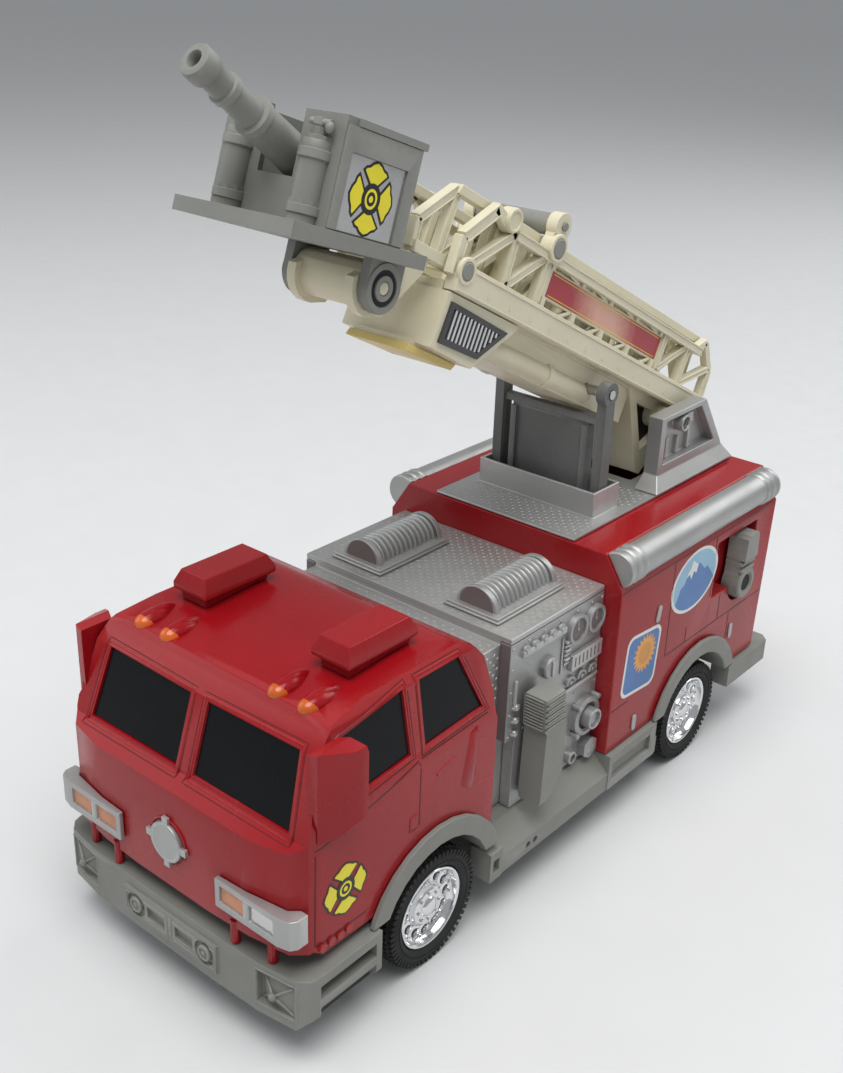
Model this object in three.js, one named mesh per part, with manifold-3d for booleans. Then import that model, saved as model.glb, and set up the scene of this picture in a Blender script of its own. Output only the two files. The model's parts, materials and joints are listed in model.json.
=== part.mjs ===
// Toy ladder fire engine, cab-over style, with a raised telescopic ladder and an aerial bucket.
// Units are millimetres, +Z is up, the truck drives towards -Y and +X is its left side.
// The origin is on the ground, below the middle of the truck.

import * as THREE from 'three';
import { mergeVertices } from 'three/addons/utils/BufferGeometryUtils.js';
import Module from 'manifold-3d';

const wasm = await Module();
wasm.setup();

// ---------- driving dimensions ----------

const GAP = 0.3;                 // between neighbouring pieces
const WALL = 2.6;                // moulded shell thickness
const NOSE_Y = -175;             // front face of the bumper
const STEP_END_Y = 175;          // rear edge of the rear step
const AXLE_Y = { front: -97, rear: 98 };
const TYRE_R = 25.6;
const AXLE_Z = TYRE_R;
const AXLE_R = 2.3;
const BORE_R = AXLE_R + GAP;
const RIM_R = 17.6;
const TYRE_X = [46, 64.5];       // inner and outer side of a tyre
const ARCH_R = 34.8;             // wheel opening in the cab and in the body
const LINER_R = [32, 34.4];
const FENDER_R = 40.2;
const PAN_Z = [21, 24.5];
const BOARD_TOP_Z = 37.5;        // running boards
const CAB_HALF = 64;
const BODY_HALF = 65;
const CAB_REAR_Y = -62;
const CAB_SKIRT_Z = { front: 44, rear: 38 };
const BEACON_TOP_Z = 146.2;
const MIRROR_REACH = 70.2;
const MODULE_Y = [-45, 21.2];
const MODULE_HALF = 51;
const MODULE_TOP_Z = 121;
const PANEL_X = [51.3, 56.4];
const BODY_FRONT_Y = 21.5;
const BODY_TOP_Z = 134.7;
const BODY_BOTTOM_Z = 38.3;
const DECK_Z = [135, 136.2];
const PIVOT = { y: 117, z: 163.5 };      // boom hinge
const BOOM_PITCH = 26.6;                 // degrees, front end up
const STRUT_PIN = { u: 67.5, n: -3 };    // along and above the boom line
const STRUT_LENGTH = 72;
const BUCKET_PIN = { u: 222.7, n: -3.5 };
const BUCKET_TILT = 8.3;                 // bucket nose down, relative to the boom
const CANNON_PIN = { y: -19.4, z: 29 };  // in the bucket
const CANNON_PITCH = 19.7;               // cannon nose up, relative to the bucket
const SCREW_Y = [-110, -10, 142];        // screws from below into the three upper shells
const PUMP_HINGE = { x: 64.2, z: 46.5 };
const SIDE_HINGE = { y: 133, z: 85.5 };

// ---------- materials ----------

const finish = (color, roughness, metalness) =>
  new THREE.MeshStandardMaterial({ color, roughness, metalness });

const RED = finish('#9e1620', 0.25, 0);
const GRAY = finish('#7c7d78', 0.55, 0);
const DARK_GRAY = finish('#5e605f', 0.55, 0);
const SILVER = finish('#90928f', 0.42, 0.55);
const CREAM = finish('#ddd2ac', 0.5, 0);
const GLASS = finish('#0b0c0d', 0.2, 0);
const CHROME = finish('#d4d6d8', 0.12, 1);
const RUBBER = finish('#17181a', 0.8, 0);
const STEEL = finish('#a8a9a8', 0.35, 0.9);

// ---------- solids ----------

const ROUND = 16;                // sides of an ordinary round
const SMALL_ROUND = 10;          // sides of a pin, a post or a small hole
const LARGE_ROUND = 28;          // sides of a wheel or a wheel arch

function solid(geometry) {
  const bare = geometry.clone();
  bare.deleteAttribute('normal');
  bare.deleteAttribute('uv');
  const merged = mergeVertices(bare, 1e-4);
  const vertProperties = new Float32Array(merged.getAttribute('position').array);
  const corner = (i) => new THREE.Vector3().fromArray(vertProperties, 3 * i);
  const index = merged.index.array;
  const triangles = [];
  let volume = 0;
  for (let i = 0; i < index.length; i += 3) {
    const [a, b, c] = [index[i], index[i + 1], index[i + 2]];
    if (a !== b && b !== c && c !== a) {
      triangles.push([a, b, c]);
      volume += corner(a).dot(corner(b).cross(corner(c)));
    }
  }
  const outward = volume > 0 ? triangles : triangles.map(([a, b, c]) => [a, c, b]);
  const triVerts = new Uint32Array(outward.flat());
  return new wasm.Manifold(new wasm.Mesh({ numProp: 3, vertProperties, triVerts }));
}

const join = (...solids) => solids.reduce((sum, next) => sum.add(next));
const cut = (base, ...tools) => tools.reduce((left, tool) => left.subtract(tool), base);

function extruded(points, depth) {
  const shape = new THREE.Shape(points.map(([a, b]) => new THREE.Vector2(a, b)));
  return new THREE.ExtrudeGeometry(shape, { depth, bevelEnabled: false });
}

// An outline of [y, z] points, swept from x0 to x1.
function prismX(points, x0, x1) {
  const [low, high] = [Math.min(x0, x1), Math.max(x0, x1)];
  const turn = new THREE.Matrix4().makeBasis(
    new THREE.Vector3(0, 1, 0), new THREE.Vector3(0, 0, 1), new THREE.Vector3(1, 0, 0));
  return solid(extruded(points, high - low).applyMatrix4(turn).translate(low, 0, 0));
}

// An outline of [x, z] points, swept from y0 to y1.
function prismY(points, y0, y1) {
  return solid(extruded(points, y1 - y0).rotateX(Math.PI / 2).translate(0, y1, 0));
}

// An outline of [x, y] points, swept from z0 to z1.
const prismZ = (points, z0, z1) => solid(extruded(points, z1 - z0).translate(0, 0, z0));

function box(x0, x1, y0, y1, z0, z1) {
  const [low, high] = [Math.min(x0, x1), Math.max(x0, x1)];
  const geometry = new THREE.BoxGeometry(high - low, y1 - y0, z1 - z0);
  return solid(geometry.translate((low + high) / 2, (y0 + y1) / 2, (z0 + z1) / 2));
}

function rodX(radius, x0, x1, y, z, sides = ROUND) {
  const geometry = new THREE.CylinderGeometry(radius, radius, Math.abs(x1 - x0), sides);
  return solid(geometry.rotateZ(Math.PI / 2).translate((x0 + x1) / 2, y, z));
}

function rodY(radius, y0, y1, x, z, sides = ROUND) {
  const geometry = new THREE.CylinderGeometry(radius, radius, y1 - y0, sides);
  return solid(geometry.translate(x, (y0 + y1) / 2, z));
}

function rodZ(radius, z0, z1, x, y, sides = SMALL_ROUND) {
  const geometry = new THREE.CylinderGeometry(radius, radius, z1 - z0, sides);
  return solid(geometry.rotateX(Math.PI / 2).translate(x, y, (z0 + z1) / 2));
}

// A surface from a profile of [along, radius] points, turned about the Y axis.
function turnedY(profile, sides = ROUND) {
  const points = profile.map(([along, radius]) => new THREE.Vector2(radius, along));
  return new THREE.LatheGeometry(points, sides);
}

const turnedX = (profile, sides) => solid(turnedY(profile, sides).rotateZ(-Math.PI / 2));

function arc(cx, cy, radius, from, to, steps) {
  const points = [];
  for (let i = 0; i <= steps; i += 1) {
    const angle = THREE.MathUtils.degToRad(from + ((to - from) * i) / steps);
    points.push([cx + radius * Math.cos(angle), cy + radius * Math.sin(angle)]);
  }
  return points;
}

// A straight strip of the given width from p to q.
function strip(p, q, width) {
  const length = Math.hypot(q[0] - p[0], q[1] - p[1]);
  const across = [(-(q[1] - p[1]) * width) / 2 / length, ((q[0] - p[0]) * width) / 2 / length];
  return [
    [p[0] + across[0], p[1] + across[1]],
    [p[0] - across[0], p[1] - across[1]],
    [q[0] - across[0], q[1] - across[1]],
    [q[0] + across[0], q[1] + across[1]],
  ];
}

// The outline moved outwards by distance, or inwards where it is negative.
function offset(points, distance) {
  const count = points.length;
  let area = 0;
  points.forEach(([x, y], i) => {
    const [nextX, nextY] = points[(i + 1) % count];
    area += x * nextY - nextX * y;
  });
  const side = Math.sign(area) * distance;
  return points.map((point, i) => {
    const before = points[(i + count - 1) % count];
    const after = points[(i + 1) % count];
    const d0 = new THREE.Vector2(point[0] - before[0], point[1] - before[1]).normalize();
    const d1 = new THREE.Vector2(after[0] - point[0], after[1] - point[1]).normalize();
    const scale = side / (1 + d0.dot(d1));
    return [point[0] + (d0.y + d1.y) * scale, point[1] - (d0.x + d1.x) * scale];
  });
}

// Both halves of an outline given for +x only, from its first point round to its last.
const bothSides = (half) => [...half, ...half.map(([x, other]) => [-x, other]).reverse()];
const sided = (points, side) => points.map(([x, other]) => [side * x, other]);

// ---------- scene graph ----------

const truck = new THREE.Group();

function add(name, shape, material, parent = truck) {
  const { numProp, vertProperties, triVerts } = shape.getMesh();
  const geometry = new THREE.BufferGeometry();
  geometry.setAttribute('position', new THREE.BufferAttribute(vertProperties, numProp));
  geometry.setIndex(new THREE.BufferAttribute(triVerts, 1));
  geometry.computeVertexNormals();
  const mesh = new THREE.Mesh(geometry, material);
  mesh.name = name;
  parent.add(mesh);
}

const SIDES = [['left', 1], ['right', -1]];

// ---------- chassis ----------

function bothAxleBores() {
  return join(...Object.values(AXLE_Y).map((y) => rodX(BORE_R, -75, 75, y, AXLE_Z, SMALL_ROUND)));
}

function runningBoard(side) {
  const outline = [[44, 20], [65.5, 18.5], [67, 20], [67, 28.5], [57.5, BOARD_TOP_Z], [44, BOARD_TOP_Z]];
  const hollow = [[46.4, 10], [64.6, 10], [64.6, 27.4], [56.6, 35], [46.4, 35]];
  const frontY = -63.5;
  const rearY = 64;
  const board = cut(
    prismY(sided(outline, side), frontY, rearY),
    prismY(sided(hollow, side), frontY + WALL, rearY - WALL));
  const step = box(side * 57, side * 67.5, -65, -57, 20, 34);
  const stepHole = box(side * 65.2, side * 70, -63, -59, 24, 30);
  const locker = box(side * 55, side * 67.5, 22, 62, 20, BOARD_TOP_Z + 0.2);
  const lockerWindow = box(side * 65.6, side * 70, 25, 57, 25, 33);
  const holes = [-38, -33].map((y) => rodX(1.6, side * 60, side * 70, y, 24, SMALL_ROUND));
  return cut(join(board, step, locker), stepHole, lockerWindow, ...holes);
}

function rearStep() {
  const frontY = 131;
  const [bottomZ, topZ] = [26.2, 37.4];
  const plan = bothSides([[68, frontY], [68, 171], [64, STEP_END_Y]]);
  const roofOpening = box(-58, 58, 120, 154, 30, 40);
  const tie = box(-40, 40, frontY, frontY + WALL, PAN_Z[0], 30);
  const tray = cut(prismZ(plan, bottomZ, topZ), prismZ(offset(plan, -WALL), 10, 34.6), roofOpening);
  return join(tray, tie);
}

function chassis() {
  const pan = box(-41, 41, -157, 152, ...PAN_Z);
  const waist = box(-46, 46, -60, 61, ...PAN_Z);
  const bulkhead = box(-55, 55, -159.6, -157, PAN_Z[0], 52);
  const parts = [pan, waist, bulkhead, rearStep()];
  for (const [, side] of SIDES) {
    parts.push(runningBoard(side));
    parts.push(box(side * 53, side * 55, -158, -133, PAN_Z[0], 50));
    parts.push(box(side * 40, side * 55, -158, -133, ...PAN_Z));
    for (const y of Object.values(AXLE_Y)) {
      parts.push(box(side * 32, side * 38, y - 6, y + 6, 23, 31.5));
    }
  }
  const screwHoles = SCREW_Y.flatMap((y) => [
    rodZ(1.9, 15, 30, 0, y, SMALL_ROUND),
    rodZ(4, 15, PAN_Z[0] + 2.2, 0, y),
  ]);
  return cut(join(...parts), bothAxleBores(), ...screwHoles);
}

add('chassis', chassis(), GRAY);

// A hollow post that hangs from a shell and takes one chassis screw.
const screwPost = (y, top) => rodZ(4.5, PAN_Z[1] + GAP, top, 0, y);
const screwPostHole = (y) => rodZ(1.8, 10, 38, 0, y, SMALL_ROUND);

SCREW_Y.forEach((y, i) => {
  const head = rodZ(3.6, PAN_Z[0] + 0.2, PAN_Z[0] + 1.9, 0, y);
  const shank = rodZ(1.5, PAN_Z[0] + 1, 36, 0, y, SMALL_ROUND);
  const slot = box(-3, 3, y - 0.5, y + 0.5, 15, PAN_Z[0] + 1);
  add(`chassis_screw_${['front', 'middle', 'rear'][i]}`, cut(join(head, shank), slot), STEEL);
});

// ---------- front bumper ----------

function bumperLamp(side) {
  const pyramid = new THREE.ConeGeometry(10.6, 3.2, 4).rotateY(Math.PI / 4).rotateX(Math.PI);
  return solid(pyramid.scale(1.05, 1, 0.9).translate(side * 54.2, -171.6, 29));
}

function frontBumper() {
  const outline = [
    [24, -174], [46, -173.4], [63, -171], [67, -167.5], [68, -164], [68, -131], [56, -131], [56, -160]];
  const hollow = [[46, -167.4], [61, -166.4], [63.6, -164], [63.6, -135], [58.4, -135], [58.4, -162.4]];
  const bar = cut(prismZ(bothSides(outline), 17, 39.5), prismZ(bothSides(hollow), 10, 37));
  const plate = box(-26, 26, NOSE_Y, -170, 22, 35);
  const cornerBelow = [[62, 16], [70, 16], [70, 23.5]];
  const cuts = [];
  const extras = [];
  for (const [, side] of SIDES) {
    cuts.push(prismY(sided(cornerBelow, side), -180, -120));
    cuts.push(box(side * 46, side * 62.4, -180, -170.4, 22, 36));
    cuts.push(box(side * 60, side * 72, -163, -134, 19, 25));
    cuts.push(box(side * 60, side * 72, -163, -134, 29, 34.8));
    cuts.push(box(side * 3, side * 13, -180, -173.4, 26, 31));
    cuts.push(cut(
      rodY(5.2, -180, -173.8, side * 19.5, 28.5),
      rodY(3.4, -180, -173, side * 19.5, 28.5)));
    extras.push(bumperLamp(side));
  }
  return join(cut(join(bar, plate), ...cuts), ...extras);
}

add('front_bumper', frontBumper(), GRAY);

// ---------- wheels ----------

function tyre(side) {
  const [inner, outer] = TYRE_X;
  const profile = [
    [inner, RIM_R + GAP], [inner, 23.4], [inner + 2, TYRE_R], [outer - 2, TYRE_R], [outer, 23.6],
    [outer - 0.3, 20], [outer - 1.4, RIM_R + GAP], [inner, RIM_R + GAP]];
  return turnedX(profile.map(([x, r]) => [side * x, r]), LARGE_ROUND);
}

// A dished rim with a ring of hand holes, a raised hub and a blind bore for the axle.
function hub(side) {
  const boreEnd = 59.6;
  const profile = [
    [47, BORE_R], [47, 6], [57, 6], [57, 15], [47, 15.4], [47, RIM_R], [63.4, RIM_R], [63.4, 15.6],
    [60, 14.6], [60, 8], [62.4, 6.4], [62.4, 0], [boreEnd, 0], [boreEnd, BORE_R], [47, BORE_R]];
  const wheel = turnedX(profile.map(([x, r]) => [side * x, r]), ROUND);
  const count = 6;
  const holes = [];
  for (let i = 0; i < count; i += 1) {
    const angle = (2 * Math.PI * i) / count;
    holes.push(rodX(2.2, side * 50, side * 66, 11.7 * Math.cos(angle), 11.7 * Math.sin(angle), 8));
  }
  return cut(wheel, ...holes);
}

for (const [place, y] of Object.entries(AXLE_Y)) {
  const axle = new THREE.Group();
  axle.position.set(0, y, AXLE_Z);
  truck.add(axle);
  add(`${place}_axle`, rodX(AXLE_R, -59.2, 59.2, 0, 0, SMALL_ROUND), STEEL, axle);
  for (const [name, side] of SIDES) {
    add(`tyre_${place}_${name}`, tyre(side), RUBBER, axle);
    add(`hub_${place}_${name}`, hub(side), CHROME, axle);
  }
}

// ---------- wheel arch trims ----------

function fender(y, side, faceX, frontFootZ) {
  const ring = (outer, x0, x1) => cut(
    rodX(outer, side * x0, side * x1, y, AXLE_Z, LARGE_ROUND),
    rodX(LINER_R[0], side * 40, side * 70, y, AXLE_Z, LARGE_ROUND));
  const innerWall = rodX(LINER_R[1], side * 43, side * 44.8, y, AXLE_Z, LARGE_ROUND);
  const whole = join(ring(LINER_R[1], 44, faceX + 1), ring(FENDER_R, faceX, faceX + 2.3), innerWall);
  const below = box(side * 40, side * 70, y - 50, y + 50, -20, BOARD_TOP_Z + 0.5);
  const aheadOfWheel = box(side * 40, side * 70, y - 50, y, -20, frontFootZ);
  return cut(whole, below, aheadOfWheel);
}

for (const [name, side] of SIDES) {
  add(`fender_front_${name}`, fender(AXLE_Y.front, side, CAB_HALF + GAP, 40), GRAY);
  add(`fender_rear_${name}`, fender(AXLE_Y.rear, side, BODY_HALF + GAP, BOARD_TOP_Z + 0.5), GRAY);
}

const archCuts = (y) => SIDES.map(
  ([, side]) => rodX(ARCH_R, side * 45, side * 80, y, AXLE_Z, LARGE_ROUND));

// ---------- cab ----------

const CAB_PROFILE = [
  [-172.8, 10], [-172.8, 84], [-171.3, 89], [-164.5, 93], [-155, 122.5], [-150, 128], [-147, 130.5],
  [-126, 133.5], [-100, 135], [-82, 134.5], [-72, 131], [-66, 124], [CAB_REAR_Y, 108], [CAB_REAR_Y, 10]];
const CAB_SECTION = bothSides([
  [CAB_HALF, 10], [CAB_HALF, 97], [62.3, 101], [58, 129], [55, 133], [50, 134.6], [25, 135.4]]);
const CAB_PLAN = bothSides([
  [20, -172.6], [40, -171.6], [58, -168.8], [63, -164], [CAB_HALF, -158], [CAB_HALF, CAB_REAR_Y]]);

// The cab's outer form, moved outwards by distance, as one filled solid.
function cabForm(distance) {
  return prismX(offset(CAB_PROFILE, distance), -80, 80)
    .intersect(prismY(offset(CAB_SECTION, distance), -190, -40))
    .intersect(prismZ(offset(CAB_PLAN, distance), 0, 150));
}

const WINDSHIELD = [[4.6, 94], [4.6, 121.3], [50.4, 122], [53.6, 94]];
const SIDE_WINDOWS = [
  [[-158, 99.5], [-150.6, 121], [-145, 125], [-112, 129.3], [-111, 103.2]],
  [[-103, 102.7], [-103, 129.3], [-80.5, 129.3], [-69, 104.3]],
];

function windowPrisms(shrink) {
  const prisms = [];
  for (const [, side] of SIDES) {
    prisms.push(prismY(offset(sided(WINDSHIELD, side), -shrink), -180, -140));
    for (const pane of SIDE_WINDOWS) {
      prisms.push(prismX(offset(pane, -shrink), side * 52, side * 70));
    }
  }
  return prisms;
}

function markerLamp(x) {
  return solid(new THREE.SphereGeometry(1, 10, 6).scale(4.2, 8.4, 3.4).translate(x, -139.4, 131));
}

function cabShell() {
  const outer = cabForm(0);
  const lamps = [28.8, 43.5].flatMap((x) => [markerLamp(x), markerLamp(-x)]);
  const pegs = [[33, -171], [50, -169]].flatMap(([x, y]) => [x, -x].map(
    (pegX) => rodZ(1.9, 40, 50, pegX, y, SMALL_ROUND)));
  const skirtLine = [
    [-190, 0], [-190, 47], [-162, 47], [-158, CAB_SKIRT_Z.front], [AXLE_Y.front, CAB_SKIRT_Z.front],
    [AXLE_Y.front, CAB_SKIRT_Z.rear], [-50, CAB_SKIRT_Z.rear], [-50, 0]];
  const arches = archCuts(AXLE_Y.front);
  const hollow = join(cabForm(-WALL), prismX(skirtLine, -80, 80), ...windowPrisms(0), ...arches);
  const lampBodies = cut(join(...lamps), cabForm(-1));
  const post = screwPost(SCREW_Y[0], 133);
  return cut(join(cut(outer, hollow), lampBodies, ...pegs, post), screwPostHole(SCREW_Y[0]));
}

add('cab_shell', cabShell(), RED);

// One dark moulding: a band that lines the shell, with panes that stand in its window openings.
function cabGlazing() {
  const band = cut(cabForm(-WALL - GAP), cabForm(-WALL - 2.2)).intersect(box(-80, 80, -190, -40, 90, 131));
  const inside = cabForm(-WALL - 1.2);
  const panes = windowPrisms(GAP).map((prism) => cut(prism.intersect(cabForm(-0.9)), inside));
  return cut(join(band, ...panes), rodZ(4.8, 80, 140, 0, SCREW_Y[0]));
}

add('cab_glazing', cabGlazing(), GLASS);

// A roof beacon: a wide lamp body with chamfered ends on a narrower foot that follows the roof.
function beacon(side) {
  const section = [
    [30.5, 132], [30.5, 136.5], [28, 138.5], [28, 141], [30.2, BEACON_TOP_Z],
    [44.4, BEACON_TOP_Z], [46.4, 141], [46.4, 138.5], [44.4, 136.5], [44.4, 132]];
  const profile = [
    [-125, 131], [-125, 136.5], [-127.4, 138.5], [-127.4, 141], [-124.8, BEACON_TOP_Z],
    [-93.2, BEACON_TOP_Z], [-90.4, 141], [-90.4, 138.5], [-92.6, 136.5], [-92.6, 131]];
  const body = prismY(sided(section, side), -128, -90).intersect(prismX(profile, side * 26, side * 48));
  return cut(body, cabForm(GAP));
}

for (const [name, side] of SIDES) {
  add(`roof_beacon_${name}`, beacon(side), RED);
}

function mirror(side) {
  const outline = [
    [60, 94], [60, 127.5], [64, 128.6], [MIRROR_REACH - 0.8, 126.4], [MIRROR_REACH, 124],
    [MIRROR_REACH, 98], [67, 93.5], [62.5, 92.5]];
  const plan = [[56, -162], [64, -160.8], [MIRROR_REACH, -146.5], [MIRROR_REACH, -142.6], [56, -149]];
  return cut(
    prismY(sided(outline, side), -170, -140).intersect(prismZ(sided(plan, side), 80, 140)),
    cabForm(GAP));
}

for (const [name, side] of SIDES) {
  add(`mirror_${name}`, mirror(side), RED);
}

// A headlight housing wraps the front corner of the cab; two lamp wells are sunk into its face.
function headlightBezel(side) {
  const plan = [[26.6, -174.7], [58, -174.7], [63.2, -173.4], [64.8, -171], [64.8, -166], [26.6, -166]];
  const wrap = prismZ(sided(plan, side), 54.8, 67.2);
  const wells = [[29, 41], [44, 56]].map(([low, high]) => cut(
    box(side * low, side * high, -190, -160, 57.4, 64.6),
    cabForm(1.2),
    box(-80, 80, -173.4, -150, 50, 70)));
  return cut(wrap, cabForm(GAP), ...wells);
}

for (const [name, side] of SIDES) {
  add(`headlight_bezel_${name}`, headlightBezel(side), SILVER);
}

function badge() {
  const z = 68;
  const y = -173.1;
  const reach = 11;
  const half = 1.6;
  return join(
    rodY(8.2, NOSE_Y + 0.2, y, 0, z, ROUND),
    box(-reach, reach, NOSE_Y + 0.6, y, z - half, z + half),
    box(-half, half, NOSE_Y + 0.6, y, z - reach, z + reach));
}

add('front_badge', badge(), SILVER);

// ---------- pump module ----------

function pumpModule() {
  const top = MODULE_TOP_Z;
  const main = box(-MODULE_HALF, MODULE_HALF, ...MODULE_Y, 38, top - 2);
  const lid = box(-PANEL_X[1], PANEL_X[1], ...MODULE_Y, top - 2.5, top);
  const rearOfCab = box(-MODULE_HALF, MODULE_HALF, CAB_REAR_Y + 0.4, MODULE_Y[0] + 1, 38, 117);
  const inner = MODULE_HALF - WALL;
  const hollow = box(-inner, inner, CAB_REAR_Y + 0.4 + WALL, MODULE_Y[1] - WALL, 20, 114.5);
  const post = screwPost(SCREW_Y[1], 116);
  return cut(join(cut(join(main, lid, rearOfCab), hollow), post), screwPostHole(SCREW_Y[1]));
}

add('pump_module', pumpModule(), SILVER);

// The control panel on one side, with its gauges, vent, outlet port and buttons.
function pumpPanel(side) {
  const [inner, face] = PANEL_X.map((x) => side * x);
  const raised = (height) => face + side * height;
  const upper = box(inner, face, MODULE_Y[0], 21, 73, MODULE_TOP_Z - 2.8);
  const lower = box(inner, face, -39, 21, 38, 73.5);
  const parts = [upper, lower];
  for (const [y, z, radius] of [[0.5, 108.4, 6.8], [14, 108.4, 6.4]]) {
    const well = rodX(radius - 1.4, raised(1.4), raised(4), y, z);
    parts.push(cut(rodX(radius, inner, raised(2.4), y, z), well));
  }
  parts.push(cut(rodX(9.4, inner, raised(3), 12, 61), rodX(6.4, raised(0), raised(5), 12, 61)));
  parts.push(rodX(3.6, inner, raised(6), 12, 61, SMALL_ROUND));
  parts.push(rodX(5, inner, raised(2.4), -18.5, 97.9, SMALL_ROUND));
  parts.push(rodX(5.4, inner, raised(4.4), 15, 43.6, 6));
  parts.push(box(inner, raised(1.6), -1.5, 19, 90, 96));
  parts.push(box(inner, raised(1.6), -38, -8, 110.4, 113));
  return join(...parts);
}

// A lug on the left panel that carries the pump lever's pin.
function pumpLug() {
  const [y0, y1] = [-32.8, -27.2];
  const radius = 3.2;
  const lug = join(
    box(PANEL_X[1] - 1, PUMP_HINGE.x, y0, y1, PUMP_HINGE.z - radius, PUMP_HINGE.z + radius),
    rodY(radius, y0, y1, PUMP_HINGE.x, PUMP_HINGE.z, SMALL_ROUND));
  return cut(lug, pumpPinHole());
}

const pumpPinHole = () => rodY(1.8, -36, -20, PUMP_HINGE.x, PUMP_HINGE.z, SMALL_ROUND);

add('pump_panel_left', join(pumpPanel(1), pumpLug()), SILVER);
add('pump_panel_right', pumpPanel(-1), SILVER);

function pumpLever() {
  const face = [
    [-36.4, 43.7], [-35.2, 78.2], [-36.6, 80], [-37, 95], [-24.4, 95.6], [-21.6, 80.2], [-21.5, 54.6],
    [-25.2, 50.4], [-28.2, 46], [-32.4, 40.8]];
  const bottom = arc(PUMP_HINGE.x, PUMP_HINGE.z, 5.7, 180, 360, 12);
  const section = [...bottom, [69.9, 78], [69.9, 95], [67, 96], [60, 96], [58.5, 94]];
  const lever = prismX(face, 58, 71).intersect(prismY(section, -45, -15));
  const ribs = 5;
  const grooves = [];
  for (let i = 0; i < ribs; i += 1) {
    grooves.push(box(69.2, 72, -45, -15, 80.6 + 2.8 * i, 81.8 + 2.8 * i));
  }
  const lugSlot = box(50, 68, -33.2, -26.8, 30, 50.2);
  return cut(lever, ...grooves, lugSlot, pumpPinHole());
}

add('pump_lever', pumpLever(), GRAY);
add('pump_lever_pin', rodY(1.5, -35.7, -25.6, PUMP_HINGE.x, PUMP_HINGE.z, SMALL_ROUND), STEEL);

// A ribbed roll of hose between two half-round end plates on a flat foot.
function hoseReel(side) {
  const x = side * 31.5;
  const floor = MODULE_TOP_Z + GAP;
  const [frontY, rearY] = [-34, 4];
  const foot = box(x - 14.2, x + 14.2, frontY - 6, rearY + 2.6, floor, floor + 1.8);
  const rim = box(x - 11.6, x + 11.6, frontY - 4, rearY + 1, floor, floor + 3);
  const ribs = 7;
  const pitch = (rearY - frontY) / ribs;
  const profile = [[frontY, 0]];
  for (let i = 0; i < ribs; i += 1) {
    const y = frontY + i * pitch;
    profile.push([y + 0.2 * pitch, 7.8], [y + 0.5 * pitch, 9.4], [y + 0.8 * pitch, 7.8]);
  }
  profile.push([rearY, 0]);
  const roll = solid(turnedY(profile, 12).translate(x, 0, floor + 2));
  const ends = [[frontY - 2, frontY + 0.6], [rearY - 0.6, rearY + 2]].map(([y0, y1]) =>
    rodY(10.6, y0, y1, x, floor + 1.4, ROUND));
  const below = box(x - 20, x + 20, -60, 20, 90, floor);
  return cut(join(foot, rim, roll, ...ends), below);
}

for (const [name, side] of SIDES) {
  add(`hose_reel_${name}`, hoseReel(side), SILVER);
}

// ---------- rear body ----------

const BODY_SECTION = bothSides([[BODY_HALF, 10], [BODY_HALF, 119.5], [55, BODY_TOP_Z]]);
const BODY_PROFILE = [[BODY_FRONT_Y, 10], [BODY_FRONT_Y, 140], [164.2, 140], [158.2, 10]];
const STRUT_WELL = { half: 30.5, y: [46.9, 64.6] };
const PIVOT_WELL = { half: 19.5, y: [97, 125] };

function bodyForm(distance) {
  return prismY(offset(BODY_SECTION, distance), 0, 190)
    .intersect(prismX(offset(BODY_PROFILE, distance), -80, 80));
}

const wells = (z0, z1) => join(...[STRUT_WELL, PIVOT_WELL].map(
  ({ half, y }) => box(-half, half, ...y, z0, z1)));

function rearBody() {
  const leverPocket = join(
    box(58, 70, 106, 144.4, SIDE_HINGE.z, 114.4),
    rodX(10.4, 58, 70, SIDE_HINGE.y, SIDE_HINGE.z, ROUND));
  const pocketWall = box(55.6, 66, 103.8, 146.6, 72.8, 115.8).intersect(bodyForm(0));
  const shell = cut(bodyForm(0), bodyForm(-WALL), box(-80, 80, 0, 190, 0, BODY_BOTTOM_Z), wells(125, 145));
  const post = screwPost(SCREW_Y[2], 133);
  const pinHole = rodX(2.5, 50, 70, SIDE_HINGE.y, SIDE_HINGE.z, SMALL_ROUND);
  const whole = join(shell, pocketWall, post);
  return cut(whole, leverPocket, pinHole, screwPostHole(SCREW_Y[2]), ...archCuts(AXLE_Y.rear));
}

add('rear_body', rearBody(), RED);

function sideLever() {
  const ring = rodX(8.5, 60, 68.6, SIDE_HINGE.y, SIDE_HINGE.z, ROUND);
  const stem = prismX([[126.2, 87.5], [127, 101], [138.6, 101], [139.8, 87.5]], 60, 67.4);
  const blockFace = [[126.6, 99], [127.2, 110.4], [129, 112.2], [136.8, 112.2], [138.2, 110.4], [138.8, 99]];
  const block = prismX(blockFace, 60, 70.2);
  const ridges = [92.6, 96].map((z) => box(60, 69, 126.4, 139.2, z, z + 1.6));
  const pinHole = rodX(2.5, 50, 75, SIDE_HINGE.y, SIDE_HINGE.z, SMALL_ROUND);
  return cut(join(ring, stem, block, ...ridges), pinHole);
}

add('side_lever', sideLever(), GRAY);
add('side_lever_pin', join(
  rodX(2.2, 54.6, 68, SIDE_HINGE.y, SIDE_HINGE.z, SMALL_ROUND),
  rodX(3.8, 52.8, 55.2, SIDE_HINGE.y, SIDE_HINGE.z, SMALL_ROUND)), STEEL);

// ---------- deck on the body ----------

function deckPlate() {
  const plate = box(-38.4, 38.4, 22, 161, ...DECK_Z);
  const wall = 1.4;
  const { half, y } = STRUT_WELL;
  const tray = box(-half - wall, half + wall, y[0] - wall, y[1] + wall, DECK_Z[0], 148);
  return cut(join(plate, tray), wells(130, 150));
}

add('deck_plate', deckPlate(), SILVER);

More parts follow.
